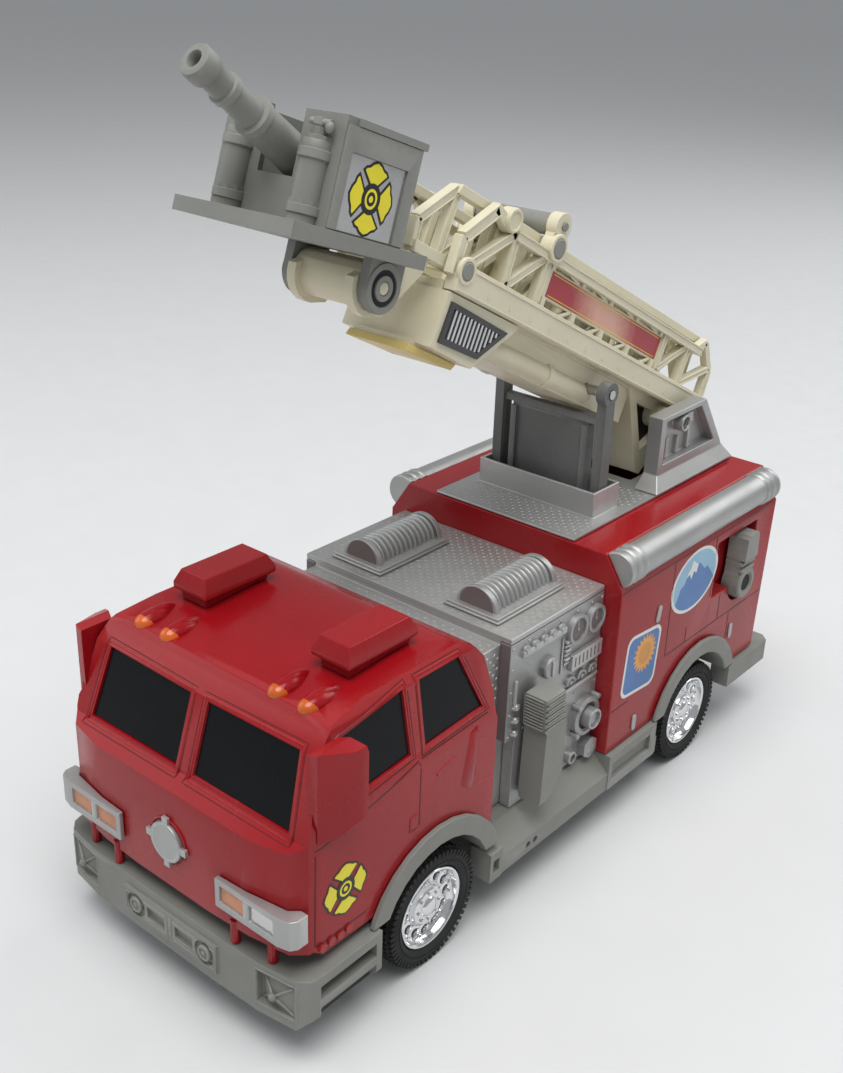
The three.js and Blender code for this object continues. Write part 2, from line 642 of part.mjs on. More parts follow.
// A pair of cheeks carries the boom's hinge pin.
function turretCheek(side) {
  const bottom = DECK_Z[1] + GAP;
  const profile = [[88, bottom], [95, 143], [95, 171], [135, 171.4], [154, 146], [160, bottom]];
  const section = [[27, bottom], [39.5, bottom], [34.6, 143], [34.6, 175], [27, 175]];
  const recess = [[99, 147.4], [99, 168.6], [131, 168.8], [147, 147.5]];
  const cheek = prismX(profile, side * 20, side * 45).intersect(prismY(sided(section, side), 80, 170));
  const boss = rodX(4.2, side * 29, side * 33.6, PIVOT.y, PIVOT.z);
  return cut(
    join(cut(cheek, prismX(recess, side * 29.6, side * 45)), boss),
    rodX(2.8, side * 20, side * 45, PIVOT.y, PIVOT.z, SMALL_ROUND));
}

for (const [name, side] of SIDES) {
  add(`turret_cheek_${name}`, turretCheek(side), SILVER);
}

// A hose tube lies along the chamfer of the body, with banded ends.
function hoseTube(side) {
  const [x, z] = [side * 60.4, 128.4];
  const bands = [[23, 25.6], [28.6, 30.6], [33.4, 35.4], [145.6, 147.6], [150.4, 152.4], [155.4, 158]];
  const rings = bands.map(([y0, y1]) => rodY(8.3, y0, y1, x, z, ROUND));
  const tube = join(rodY(7.6, bands[0][0], bands.at(-1)[1], x, z, ROUND), ...rings);
  return cut(tube, prismY(offset(BODY_SECTION, GAP), 0, 190));
}

for (const [name, side] of SIDES) {
  add(`hose_tube_${name}`, hoseTube(side), SILVER);
}

// ---------- boom ----------

const boom = new THREE.Group();
boom.position.set(0, PIVOT.y, PIVOT.z);
boom.rotation.x = THREE.MathUtils.degToRad(-BOOM_PITCH);
truck.add(boom);

// Boom outlines are given as [u, n]: along the boom from its hinge pin, and square to it, upwards.
const alongBoom = (points) => points.map(([u, n]) => [-u, n]);
const boomPrism = (points, x0, x1) => prismX(alongBoom(points), x0, x1);
const boomRod = (radius, x0, x1, u, n, sides = SMALL_ROUND) => rodX(radius, x0, x1, -u, n, sides);
const boomBox = (x0, x1, u0, u1, n0, n1) => box(x0, x1, -u1, -u0, n0, n1);

function outerRail(side) {
  const [inner, outer] = [side * 18.2, side * 24];
  const plateX = side * 21;
  const bar = (p, q, width, reach = side * 22) => boomPrism(strip(p, q, width), inner, reach);
  const parts = [
    boomPrism([[-33, 6.3], [-33, 17.3], [190.5, 17.3], [189.2, 6.5]], inner, outer),
    bar([-15, 36.2], [161, 36.2], 3.8, side * 23),
    boomBox(inner, plateX, 24.6, 135, 21, 33.2),
    bar([190.2, 12], [190.8, 26.2], 4.4),
    bar([190.6, 25.6], [176, 41], 4.8),
    bar([178, 41.2], [160, 36.6], 4.4),
    bar([182.4, 17], [161, 37], 3.6),
    bar([161, 37], [158.3, 17], 3.6),
    bar([158.3, 17], [137, 36], 3.6),
    bar([135, 14], [135, 38], 4),
    bar([-30.9, 14], [-30.4, 31.4], 3.8),
    bar([-31, 30.6], [-18.4, 42], 3.8),
    bar([-19, 42.2], [-11, 36], 3.8),
    bar([23.3, 14], [23.3, 37], 3.8),
    bar([-2, 14], [-2, 37], 3.8),
    bar([22.6, 17], [0, 35.6], 3),
    bar([-3.4, 17], [-28.6, 31], 3),
    boomRod(4.8, inner, side * 23, 166.5, 40.4),
    boomRod(5.2, inner, side * 23.4, 134.4, 40.2),
    boomRod(5.4, inner, side * 23.4, 134.6, 48.9),
    bar([134.4, 38], [134.6, 49], 8, side * 22.6),
  ];
  const windowPosts = 4;
  for (let i = 0; i <= windowPosts; i += 1) {
    const u = 27.6 + (102 * i) / windowPosts;
    parts.push(bar([u, 16], [u, 21.6], 3.4));
    parts.push(bar([u, 32.6], [u, 35.4], 3.4));
  }
  return cut(join(...parts), boomRod(2.2, side * 10, side * 30, 134.6, 48.9, SMALL_ROUND));
}

for (const [name, side] of SIDES) {
  add(`outer_rail_${name}`, outerRail(side), CREAM, boom);
}

add('keeper_bar', join(
  boomRod(4.4, -17.8, 17.8, 134.6, 48.9, ROUND),
  boomRod(1.9, -24.4, 24.4, 134.6, 48.9, SMALL_ROUND)), GRAY, boom);

// The rear support is a pair of triangular webs round the hinge, closed by a sloping front web.
function boomSupport() {
  const outline = [[34.2, 6.5], [1.5, -29.3], [-3, -29.3], [-14, -8], [-20, 6.5]];
  const window = [[22, 1], [4, -18.5], [-8.6, -6.5], [-12, 1]];
  const front = [[34.2, 6.5], [1.5, -29.3], [-2, -29.3], [30, 6.5]];
  const webs = SIDES.map(([, side]) => cut(
    boomPrism(outline, side * 14, side * 18),
    cut(boomPrism(window, side * 10, side * 20), boomRod(6, side * 10, side * 20, 0, 0))));
  return join(...webs, boomPrism(front, -18, 18), boomRod(5, -26.6, 26.6, 0, 0));
}

function boomHousing() {
  const bed = boomBox(-17.8, 17.8, -20, 189, 5.4, 9.5);
  const runners = SIDES.map(([, side]) => boomBox(side * 9, side * 17.6, -20, 150, 9, 13.1));
  const middle = boomBox(-16.5, 16.5, 30, 150, -10.8, 6);
  const head = boomPrism([[189.7, 6], [189.9, -15.2], [162.1, -16.6], [140.3, 4.8], [140.3, 6]], -22, 22);
  const lip = boomPrism([[192, -17.4], [165, -18.6], [163, -15], [192, -14.4]], -14, 14);
  const cylinders = SIDES.flatMap(([, side]) => [
    rodY(5, -150, -66, side * 14, -5.8, 12),
    rodY(5.8, -103, -99, side * 14, -5.8, 12),
    rodY(3.6, -155, -135, side * 14, -5.8, 12),
  ]);
  return cut(
    join(bed, ...runners, middle, head, lip, ...cylinders, boomSupport()),
    boomRod(2.5, -30, 30, STRUT_PIN.u, STRUT_PIN.n, SMALL_ROUND),
    boomRod(2.8, -30, 30, 0, 0, SMALL_ROUND));
}

add('boom_housing', boomHousing(), CREAM, boom);
add('boom_pivot_pin', boomRod(2.5, -33, 33, 0, 0, SMALL_ROUND), STEEL, boom);
add('strut_pin', boomRod(2.2, -30.6, 30.6, STRUT_PIN.u, STRUT_PIN.n, SMALL_ROUND), STEEL, boom);

function headGrille(side) {
  const outline = [[186.9, 3], [187.3, -12.7], [161.4, -12.5], [147.1, 1.7]];
  return boomPrism(outline, side * (22 + GAP), side * 23.1);
}

for (const [name, side] of SIDES) {
  add(`head_grille_${name}`, headGrille(side), SILVER, boom);
}

// ---------- lifting strut ----------

const strut = new THREE.Group();
strut.position.set(0, -STRUT_PIN.u, STRUT_PIN.n);
strut.rotation.x = THREE.MathUtils.degToRad(BOOM_PITCH);
boom.add(strut);

function liftStrut() {
  const foot = -STRUT_LENGTH;
  const parts = [
    box(-20.8, 20.8, -1.6, 1.6, foot, -11.5),
    box(-30, 30, -2, 2, -14.5, -11.2),
    box(-30, 30, -3.4, 3.4, foot, foot + 4),
  ];
  for (const [, side] of SIDES) {
    parts.push(box(side * 25.2, side * 30, -3.4, 3.4, foot, 0));
    parts.push(rodX(5.4, side * 25.2, side * 30, 0, 0));
    parts.push(box(side * 18, side * 21, -3, 3, foot, -16));
  }
  return cut(join(...parts), rodX(2.5, -40, 40, 0, 0, SMALL_ROUND));
}

add('lift_strut', liftStrut(), DARK_GRAY, strut);

// ---------- sliding ladder ----------

const ladder = new THREE.Group();
boom.add(ladder);

function innerRail(side) {
  const reach = [side * 12.3, side * 17.4];
  const bar = (p, q, width, outer = side * 16) => boomPrism(strip(p, q, width), reach[0], outer);
  const parts = [
    boomPrism([[-19, 13.5], [-19, 17.6], [211, 17.6], [210.2, 13.5]], ...reach),
    boomPrism([[-19, 40.2], [-19, 43.9], [195.6, 43], [196.6, 39.4]], ...reach),
    bar([210, 15], [211.2, 25.4], 3.8),
    bar([211.4, 24.6], [195.4, 41.2], 3.8),
  ];
  const bays = 8;
  const pitch = (195 + 17) / bays;
  for (let i = 0; i <= bays; i += 1) {
    const u = -17 + i * pitch;
    parts.push(bar([u, 15], [u, 42], 3.6));
    if (i < bays) {
      const up = i % 2 === 0;
      parts.push(bar([u, up ? 16 : 41], [u + pitch, up ? 41 : 16], 2.8));
    }
  }
  return join(...parts);
}

for (const [name, side] of SIDES) {
  add(`inner_rail_${name}`, innerRail(side), CREAM, ladder);
}

// The ladder's floor: two stringers with rungs, and a forked arm that holds the bucket's drum.
function ladderFloor() {
  const parts = SIDES.map(([, side]) => boomBox(side * 9, side * 12, -17, 208, 13.5, 17));
  const rungs = 11;
  for (let i = 0; i < rungs; i += 1) {
    const u = -14 + (212 * i) / (rungs - 1);
    parts.push(boomRod(1.5, -11, 11, u, 15.4, 6));
  }
  const { u: pinU, n: pinN } = BUCKET_PIN;
  const nose = arc(pinU, pinN, 11, 0, -100, 6);
  const drumTop = arc(pinU, pinN, 8.4, 90, 15, 4);
  const arm = [
    [198, 13.2], [211.4, 13.2], [211.6, 4.9], ...drumTop, ...nose, [213.5, -12], [199.6, 8.4]];
  parts.push(...SIDES.map(([, side]) => boomPrism(arm, side * 11.8, side * 15.7)));
  parts.push(boomRod(8.4, -15.7, 15.7, pinU, pinN, ROUND));
  parts.push(boomBox(-15.7, 15.7, 199, 211, 11, 13.2), boomBox(-11.9, 11.9, 199, 209, 12, 17));
  return cut(join(...parts), boomRod(2.5, -30, 30, pinU, pinN, SMALL_ROUND));
}

add('ladder_floor', ladderFloor(), CREAM, ladder);

// ---------- bucket and water cannon ----------

const bucket = new THREE.Group();
bucket.position.set(0, -BUCKET_PIN.u, BUCKET_PIN.n);
bucket.rotation.x = THREE.MathUtils.degToRad(BUCKET_TILT);
ladder.add(bucket);

function bucketShell() {
  const wall = 2.2;
  const [frontY, rearY] = [-41.9, -3.6];
  const half = 26.5;
  const [floorZ, rimZ] = [14, 49];
  const tub = cut(
    box(-half, half, frontY, rearY, floorZ - 1, rimZ),
    box(-half + wall, half - wall, frontY + wall, rearY - wall, floorZ, rimZ + 5));
  const rim = cut(
    box(-half - 1.2, half + 1.2, frontY + 5, rearY + 1.2, rimZ - 2.4, rimZ),
    box(-half + wall, half - wall, frontY - 5, rearY - wall, rimZ - 10, rimZ + 5));
  const platform = box(-27.5, 27.5, -56.8, 10.1, 9, floorZ);
  const gate = box(-8, 8, frontY - 8, frontY + wall + 1, floorZ + 13.5, rimZ + 5);
  const extras = [];
  const bottleY = frontY - 1.4;
  const { y: cannonY, z: cannonZ } = CANNON_PIN;
  for (const [, side] of SIDES) {
    const bottleX = side * 17.2;
    extras.push(
      rodX(9, side * 16.2, side * 20, 0, 0, ROUND),
      box(side * 16.2, side * 20, -9, 9, 0, 9.5),
      rodZ(4.6, floorZ - 1, 41, bottleX, bottleY),
      rodZ(5.3, 19, 21, bottleX, bottleY),
      rodZ(5.3, 34, 36, bottleX, bottleY),
      rodZ(2.4, 40, 45, bottleX, bottleY, SMALL_ROUND),
      box(side * 7.7, side * 10, cannonY - 4.6, cannonY + 4.6, floorZ - 1, cannonZ),
      rodX(4.6, side * 7.7, side * 10, cannonY, cannonZ, SMALL_ROUND));
  }
  return cut(
    join(cut(join(tub, rim, platform), gate), ...extras),
    rodX(2.5, -30, 30, 0, 0, SMALL_ROUND),
    rodX(1.8, -12, 12, cannonY, cannonZ, SMALL_ROUND));
}

add('bucket', bucketShell(), GRAY, bucket);
add('bucket_pin', rodX(2.2, -19.8, 19.8, 0, 0, SMALL_ROUND), STEEL, bucket);
add('cannon_pin', rodX(1.5, -9.8, 9.8, CANNON_PIN.y, CANNON_PIN.z, SMALL_ROUND), STEEL, bucket);

const cannon = new THREE.Group();
cannon.position.set(0, CANNON_PIN.y, CANNON_PIN.z);
cannon.rotation.x = THREE.MathUtils.degToRad(-CANNON_PITCH);
bucket.add(cannon);

// The barrel points along -Y and steps down through two collars to a flared, bored nozzle.
function waterCannon() {
  const heel = [[-7, 0], ...arc(0, 0, 7, 165, 90, 5)];
  const barrel = [
    [37, 6.2], [37, 6.6], [39.5, 6.6], [39.5, 5], [51.5, 4.7], [51.5, 5.4], [54, 5.4], [54, 4.4],
    [60.5, 4.4], [61.5, 5.8], [67.2, 5.8], [68, 5.2], [68, 2.5], [56, 2.5], [56, 0]];
  const profile = [...heel, ...barrel].map(([reach, radius]) => [-reach, radius]);
  const body = solid(turnedY(profile, ROUND));
  return cut(body, rodX(1.8, -10, 10, 0, 0, SMALL_ROUND));
}

add('water_cannon', waterCannon(), GRAY, cannon);

export default truck;
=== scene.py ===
"""Looks of a toy ladder fire engine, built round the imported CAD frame. Metres, +Z up, -Y is the front."""

import json
import math

import bmesh
import bpy
from mathutils import Matrix, Vector
from mathutils.bvhtree import BVHTree


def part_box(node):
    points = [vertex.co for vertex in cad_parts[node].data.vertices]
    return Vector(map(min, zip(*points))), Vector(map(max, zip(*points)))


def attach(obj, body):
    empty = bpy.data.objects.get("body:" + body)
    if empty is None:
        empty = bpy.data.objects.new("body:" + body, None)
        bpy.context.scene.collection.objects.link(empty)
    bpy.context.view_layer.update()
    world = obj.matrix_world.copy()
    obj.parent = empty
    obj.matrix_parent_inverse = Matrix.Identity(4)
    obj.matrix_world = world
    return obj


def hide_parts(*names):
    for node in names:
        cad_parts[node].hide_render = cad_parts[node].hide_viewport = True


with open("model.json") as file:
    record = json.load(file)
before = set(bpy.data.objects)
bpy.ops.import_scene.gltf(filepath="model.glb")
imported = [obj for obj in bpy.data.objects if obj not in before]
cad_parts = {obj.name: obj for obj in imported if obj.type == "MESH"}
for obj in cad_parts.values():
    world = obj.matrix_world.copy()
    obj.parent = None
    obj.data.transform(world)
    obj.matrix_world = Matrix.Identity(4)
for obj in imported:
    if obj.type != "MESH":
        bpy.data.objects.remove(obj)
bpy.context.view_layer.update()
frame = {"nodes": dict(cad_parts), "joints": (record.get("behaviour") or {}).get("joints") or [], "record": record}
NODES = frame["nodes"]
JOINTS = {joint["name"]: joint for joint in frame["joints"]}
BODY_OF = {n: body for body, names in frame["record"]["behaviour"]["bodies"].items() for n in names}
SLOT_OF = {part["node"]: part["material_slot"] for part in frame["record"]["subparts"]}
MM = 0.001
SIDES = (("left", 1), ("right", -1))

# The camera of the product view: place in millimetres, angles in degrees, focal length in pixels.
CAMERA_MM = (314.1, -415.0, 373.4)
CAMERA_AZIMUTH = 39.527
CAMERA_ELEVATION = 24.946
CAMERA_ROLL = 2.0
CAMERA_FOCAL = 1317.37
IMAGE_HEIGHT = 1073
SENSOR = 36.0


# ---------------------------------------------------------------- materials

def shader(name):
    material = bpy.data.materials.new(name)
    material.use_nodes = True
    tree = material.node_tree
    return material, tree, tree.nodes["Principled BSDF"]


def node(tree, kind, inputs=(), **settings):
    made = tree.nodes.new(kind)
    for key, value in settings.items():
        setattr(made, key, value)
    for key, value in dict(inputs).items():
        if isinstance(value, bpy.types.NodeSocket):
            tree.links.new(value, made.inputs[key])
        else:
            made.inputs[key].default_value = value
    return made


def math_node(tree, operation, a, b=0.0):
    return node(tree, "ShaderNodeMath", {0: a, 1: b}, operation=operation).outputs[0]


def place(tree):
    return node(tree, "ShaderNodeTexCoord").outputs["Object"]


def noise(tree, scale, detail=4.0, roughness=0.55):
    return node(tree, "ShaderNodeTexNoise",
                {"Vector": place(tree), "Scale": scale, "Detail": detail,
                 "Roughness": roughness}).outputs["Fac"]


def ramp(tree, value, stops):
    made = node(tree, "ShaderNodeValToRGB", {"Fac": value})
    elements = made.color_ramp.elements
    while len(elements) < len(stops):
        elements.new(0.5)
    for element, (position, color) in zip(elements, stops):
        element.position = position
        element.color = (*color, 1.0)
    return made.outputs["Color"]


def mixed(tree, factor, a, b):
    made = node(tree, "ShaderNodeMix", {"Factor": factor}, data_type="RGBA")
    for key, value in (("A", a), ("B", b)):
        socket = [s for s in made.inputs if s.name == key and s.type == "RGBA"][0]
        if isinstance(value, bpy.types.NodeSocket):
            tree.links.new(value, socket)
        else:
            socket.default_value = (*value, 1.0)
    return [s for s in made.outputs if s.type == "RGBA"][0]


def tinted(color, gain):
    return tuple(min(1.0, channel * gain) for channel in color)


def moulded(name, color, rough, bump=0.04, grain=1400.0, spread=0.12, metal=0.0, coat=0.0, worn=None,
            wear=0.0,
             specular=0.4):
    """Moulded plastic or paint: blotchy colour, fine skin, smudged gloss and wear on the sharp edges."""
    material, tree, bsdf = shader(name)
    blotch = noise(tree, 28.0)
    base = ramp(tree, blotch, [(0.3, tinted(color, 1 - spread)), (0.7, tinted(color, 1 + spread))])
    if worn:
        edge = node(tree, "ShaderNodeNewGeometry").outputs["Pointiness"]
        mask = math_node(tree, "MULTIPLY", math_node(tree, "SUBTRACT", edge, 0.53), 9.0)
        mask = math_node(tree, "MULTIPLY", mask, noise(tree, 420.0))
        base = mixed(tree, math_node(tree, "MINIMUM", math_node(tree, "MAXIMUM", mask, 0.0), wear), base,
                     worn)
    tree.links.new(base, bsdf.inputs["Base Color"])
    gloss = node(tree, "ShaderNodeMapRange",
                 {"Value": noise(tree, 60.0, 6.0), "From Min": 0.3, "From Max": 0.7,
                  "To Min": rough * 0.8, "To Max": rough * 1.25})
    tree.links.new(gloss.outputs[0], bsdf.inputs["Roughness"])
    relief = node(tree, "ShaderNodeBump",
                  {"Height": noise(tree, grain, 3.0), "Strength": bump, "Distance": 0.0004})
    tree.links.new(relief.outputs[0], bsdf.inputs["Normal"])
    bsdf.inputs["Metallic"].default_value = metal
    bsdf.inputs["Coat Weight"].default_value = coat
    bsdf.inputs["Coat Roughness"].default_value = 0.08
    bsdf.inputs["Specular IOR Level"].default_value = specular
    return material


RED = moulded("red_plastic", (0.29, 0.005, 0.009), 0.24, 0.05, 900.0, 0.07, coat=0.12,
              worn=(0.45, 0.08, 0.08),
              wear=0.25, specular=0.25)
GRAY = moulded("gray_plastic", (0.215, 0.218, 0.198), 0.5, 0.12, 2600.0, 0.06, worn=(0.4, 0.4, 0.38),
               wear=0.3)
DARK = moulded("dark_gray_plastic", (0.12, 0.125, 0.122), 0.5, 0.12, 2600.0, 0.08, worn=(0.3, 0.3, 0.3),
               wear=0.4)
SILVER = moulded("silver_paint", (0.39, 0.395, 0.39), 0.38, 0.18, 5200.0, 0.08, metal=0.6,
                 worn=(0.62, 0.62, 0.61), wear=0.5)
CREAM = moulded("cream_plastic", (0.66, 0.615, 0.45), 0.42, 0.06, 1500.0, 0.05, worn=(0.75, 0.72, 0.6),
                wear=0.2)
YELLOWED = moulded("yellowed_plastic", (0.66, 0.53, 0.2), 0.42, 0.06, 1500.0, 0.08)
GLASS = moulded("black_glazing", (0.004, 0.0045, 0.006), 0.22, 0.25, 1800.0, 0.2, specular=0.12)
CHROME = moulded("chrome", (0.78, 0.79, 0.8), 0.14, 0.04, 900.0, 0.03, metal=1.0)
RUBBER = moulded("tyre_rubber", (0.018, 0.018, 0.019), 0.72, 0.25, 3000.0, 0.25)
STEEL = moulded("steel", (0.5, 0.5, 0.5), 0.32, 0.08, 2600.0, 0.05, metal=1.0)
ORANGE = moulded("orange_lens", (0.55, 0.10, 0.012), 0.22, 0.2, 800.0, 0.3, coat=0.3)
LENS_PEACH = moulded("lens_sticker", (0.56, 0.24, 0.13), 0.3, 0.3, 700.0, 0.35)
SILVER_LENS = moulded("silver_lens", (0.6, 0.6, 0.6), 0.16, 0.3, 800.0, 0.1, metal=0.9)
# Flat black that stands for shade: painted shade in holes, bores and behind openings.
BLACK = moulded("painted_shade_black", (0.01, 0.01, 0.01), 0.7, 0.1, 900.0, 0.2)
DECAL_YELLOW = moulded("decal_yellow", (0.78, 0.68, 0.03), 0.35, 0.05, 900.0, 0.06)
DECAL_BLACK = moulded("decal_black", (0.012, 0.012, 0.012), 0.35, 0.05, 900.0, 0.1)
DECAL_WHITE = moulded("decal_white", (0.72, 0.72, 0.7), 0.35, 0.05, 900.0, 0.05)
DECAL_BLUE = moulded("decal_blue", (0.06, 0.17, 0.42), 0.35, 0.05, 900.0, 0.15)
DECAL_SILVER = moulded("decal_silver", (0.5, 0.5, 0.5), 0.25, 0.05, 900.0, 0.12, metal=0.8)
DECAL_SKY = moulded("decal_sky", (0.26, 0.46, 0.62), 0.35, 0.05, 900.0, 0.08)
DECAL_ORANGE = moulded("decal_orange", (0.75, 0.33, 0.05), 0.35, 0.05, 900.0, 0.15)
DECAL_AMBER = moulded("decal_amber", (0.62, 0.27, 0.05), 0.35, 0.05, 900.0, 0.15)
SEAM_RED = moulded("seam_shadow", (0.09, 0.002, 0.004), 0.5, 0.05, 900.0, 0.1)
# Dark gray that stands for shade: painted shade on front faces and in the pump fittings' gauges, slots and bores.
PURPLE_GRAY = moulded("painted_shade_gray", (0.16, 0.13, 0.13), 0.5, 0.1, 2000.0, 0.1)
DARK_FRAME = moulded("grille_frame", (0.05, 0.05, 0.052), 0.4, 0.1, 2000.0, 0.1)


def label_print():
    """A red band that pales towards its middle, along the piece's own length."""
    material, tree, bsdf = shader("ladder_label")
    across = node(tree, "ShaderNodeSeparateXYZ",
                  {0: node(tree, "ShaderNodeTexCoord").outputs["Generated"]}).outputs["Y"]
    scuffed = math_node(tree, "ADD", across, math_node(tree, "MULTIPLY", noise(tree, 300.0), 0.08))
    red, pale = (0.36, 0.02, 0.035), (0.66, 0.36, 0.27)
    tree.links.new(ramp(tree, scuffed,
                        [(0.0, red), (0.24, red), (0.44, pale), (0.6, pale), (0.8, red), (1.0, red)]),
                   bsdf.inputs["Base Color"])
    bsdf.inputs["Roughness"].default_value = 0.35
    return material


LABEL = label_print()
MATERIAL_OF = {
    "red_plastic": RED, "gray_plastic": GRAY, "dark_gray_plastic": DARK, "silver_paint": SILVER,
    "cream_plastic": CREAM, "black_glazing": GLASS, "chrome": CHROME, "tyre": RUBBER, "steel": STEEL,
}


# ---------------------------------------------------------------- mesh helpers

class Shape:
    """A mesh in the making. Sizes are in millimetres, and matrix places what is added next."""

    def __init__(self, matrix=None):
        self.mesh = bmesh.new()
        self.matrix = matrix or Matrix()

    def point(self, x, y, z):
        return self.mesh.verts.new(self.matrix @ Vector((x * MM, y * MM, z * MM)))

    def prism(self, axis, outline, low, high):
        """An outline in the two other directions (in X, Y, Z order), swept along axis."""
        order = {"x": lambda a, b, c: (c, a, b),
                 "y": lambda a, b, c: (a, c, b),
                 "z": lambda a, b, c: (a, b, c)}[axis]
        rings = [[self.point(*order(a, b, c)) for a, b in outline] for c in (low, high)]
        count = len(outline)
        for i in range(count):
            j = (i + 1) % count
            self.mesh.faces.new((rings[0][i], rings[0][j], rings[1][j], rings[1][i]))
        self.mesh.faces.new(rings[0][::-1])
        self.mesh.faces.new(rings[1])
        return self

    def box(self, x0, x1, y0, y1, z0, z1):
        (x0, x1), (y0, y1), (z0, z1) = sorted((x0, x1)), sorted((y0, y1)), sorted((z0, z1))
        return self.prism("z", [(x0, y0), (x1, y0), (x1, y1), (x0, y1)], z0, z1)

    def turned(self, axis, profile, centre=(0, 0, 0), steps=48, start=0.0, sweep=360.0):
        """A profile of (along, radius) points turned about the axis. A part sweep stays open."""
        full = sweep >= 360.0
        rings = []
        for along, radius in profile:
            ring = []
            for i in range(steps if full else steps + 1):
                angle = math.radians(start + sweep * i / steps)
                a, b = radius * math.cos(angle), radius * math.sin(angle)
                offset = {"x": (along, a, b), "y": (a, along, b), "z": (a, b, along)}[axis]
                ring.append(self.point(*(c + o for c, o in zip(centre, offset))))
                if radius == 0:
                    break
            rings.append(ring)
        for low, high in zip(rings, rings[1:]):
            count = max(len(low), len(high))
            for i in range(count if full else count - 1):
                j = (i + 1) % count
                corners = []
                for ring, k in ((low, i), (low, j), (high, j), (high, i)):
                    vert = ring[k % len(ring)] if len(ring) > 1 else ring[0]
                    if vert not in corners:
                        corners.append(vert)
                if len(corners) > 2:
                    self.mesh.faces.new(corners)
        return self

    def rod(self, axis, radius, low, high, centre=(0, 0, 0), steps=32):
        return self.turned(axis, [(low, 0), (low, radius), (high, radius), (high, 0)], centre, steps)

    def dome(self, centre, radii, steps=24, rings=10):
        """An ellipsoid."""
        start = len(self.mesh.verts)
        profile = [(math.cos(math.pi * i / rings), math.sin(math.pi * i / rings)) for i in range(rings + 1)]
        profile[0], profile[-1] = (1, 0), (-1, 0)
        kept, self.matrix = self.matrix, Matrix()
        self.turned("z", profile, (0, 0, 0), steps)
        self.matrix = kept
        self.mesh.verts.ensure_lookup_table()
        scale = Matrix.Diagonal((*radii, 1))
        for vert in self.mesh.verts[start:]:
            vert.co = kept @ (scale @ vert.co + Vector(centre) * MM)
        return self

    def made(self, name, material, body, slot=None, replaces=(), bevel=0.0, segments=2, angle=35.0):
        bmesh.ops.remove_doubles(self.mesh, verts=self.mesh.verts, dist=1e-6)
        bmesh.ops.recalc_face_normals(self.mesh, faces=self.mesh.faces)
        mesh = bpy.data.meshes.new(name)
        self.mesh.to_mesh(mesh)
        self.mesh.free()
        return finished(mesh, name, material, body, replaces, bevel, segments, angle)


def finished(mesh, name, material, body, replaces=(), bevel=0.0, segments=2, angle=35.0):
    piece = bpy.data.objects.new(name, mesh)
    bpy.context.scene.collection.objects.link(piece)
    mesh.materials.append(material)
    for polygon in mesh.polygons:
        polygon.use_smooth = True
    if bevel:
        modifier = piece.modifiers.new("edges", "BEVEL")
        modifier.width = bevel * MM
        modifier.segments = segments
        modifier.limit_method = "ANGLE"
        modifier.angle_limit = math.radians(angle)
        modifier.harden_normals = True
        modifier.miter_outer = "MITER_ARC"
        normals = piece.modifiers.new("normals", "WEIGHTED_NORMAL")
        normals.keep_sharp = True
    else:
        mesh.set_sharp_from_angle(angle=math.radians(angle))
    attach(piece, body)
    if replaces:
        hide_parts(*replaces)
    return piece


MERGE_DISTANCE = 2e-6
FLAT_ANGLE = math.radians(0.8)


def refined(name, bevel=0.5, segments=3, material=None):
    """A CAD node as a clean mesh with rounded edges, standing for the node."""
    shape = bmesh.new()
    shape.from_mesh(NODES[name].data)
    bmesh.ops.remove_doubles(shape, verts=shape.verts, dist=MERGE_DISTANCE)
    bmesh.ops.dissolve_limit(shape, angle_limit=FLAT_ANGLE, verts=shape.verts, edges=shape.edges)
    # A concave flat face is split into convex ones, so that none of it spans an opening.
    bmesh.ops.connect_verts_concave(shape, faces=shape.faces)
    bmesh.ops.recalc_face_normals(shape, faces=shape.faces)
    mesh = bpy.data.meshes.new(name + "_fine")
    shape.to_mesh(mesh)
    shape.free()
    slot = SLOT_OF[name]
    return finished(mesh, name + "_fine", material or MATERIAL_OF[slot], BODY_OF[name], (name,), bevel,
                    segments)


def centre(name):
    low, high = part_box(name)
    return (low + high) / 2 / MM


def arc(cx, cy, radius, start, end, steps):
    return [(cx + radius * math.cos(math.radians(start + (end - start) * i / steps)),
             cy + radius * math.sin(math.radians(start + (end - start) * i / steps)))
            for i in range(steps + 1)]


# Frames that lie along the boom: local +Y points backwards, down the boom, and +Z is square to it.
def tilted(origin_m, degrees):
    return Matrix.Translation(Vector(origin_m)) @ Matrix.Rotation(math.radians(degrees), 4, "X")


slide = Vector(JOINTS["ladder_extend"]["axis"])
BOOM_PITCH = math.degrees(math.atan2(slide.z, -slide.y))
BUCKET_TILT = 8.3
CANNON_PITCH = 19.7
BOOM = tilted(JOINTS["boom_lift"]["pos_m"], -BOOM_PITCH)
BUCKET = tilted(JOINTS["bucket_tilt"]["pos_m"], BUCKET_TILT - BOOM_PITCH)
CANNON = tilted(JOINTS["cannon_tilt"]["pos_m"], BUCKET_TILT - CANNON_PITCH - BOOM_PITCH)


# ---------------------------------------------------------------- wheels

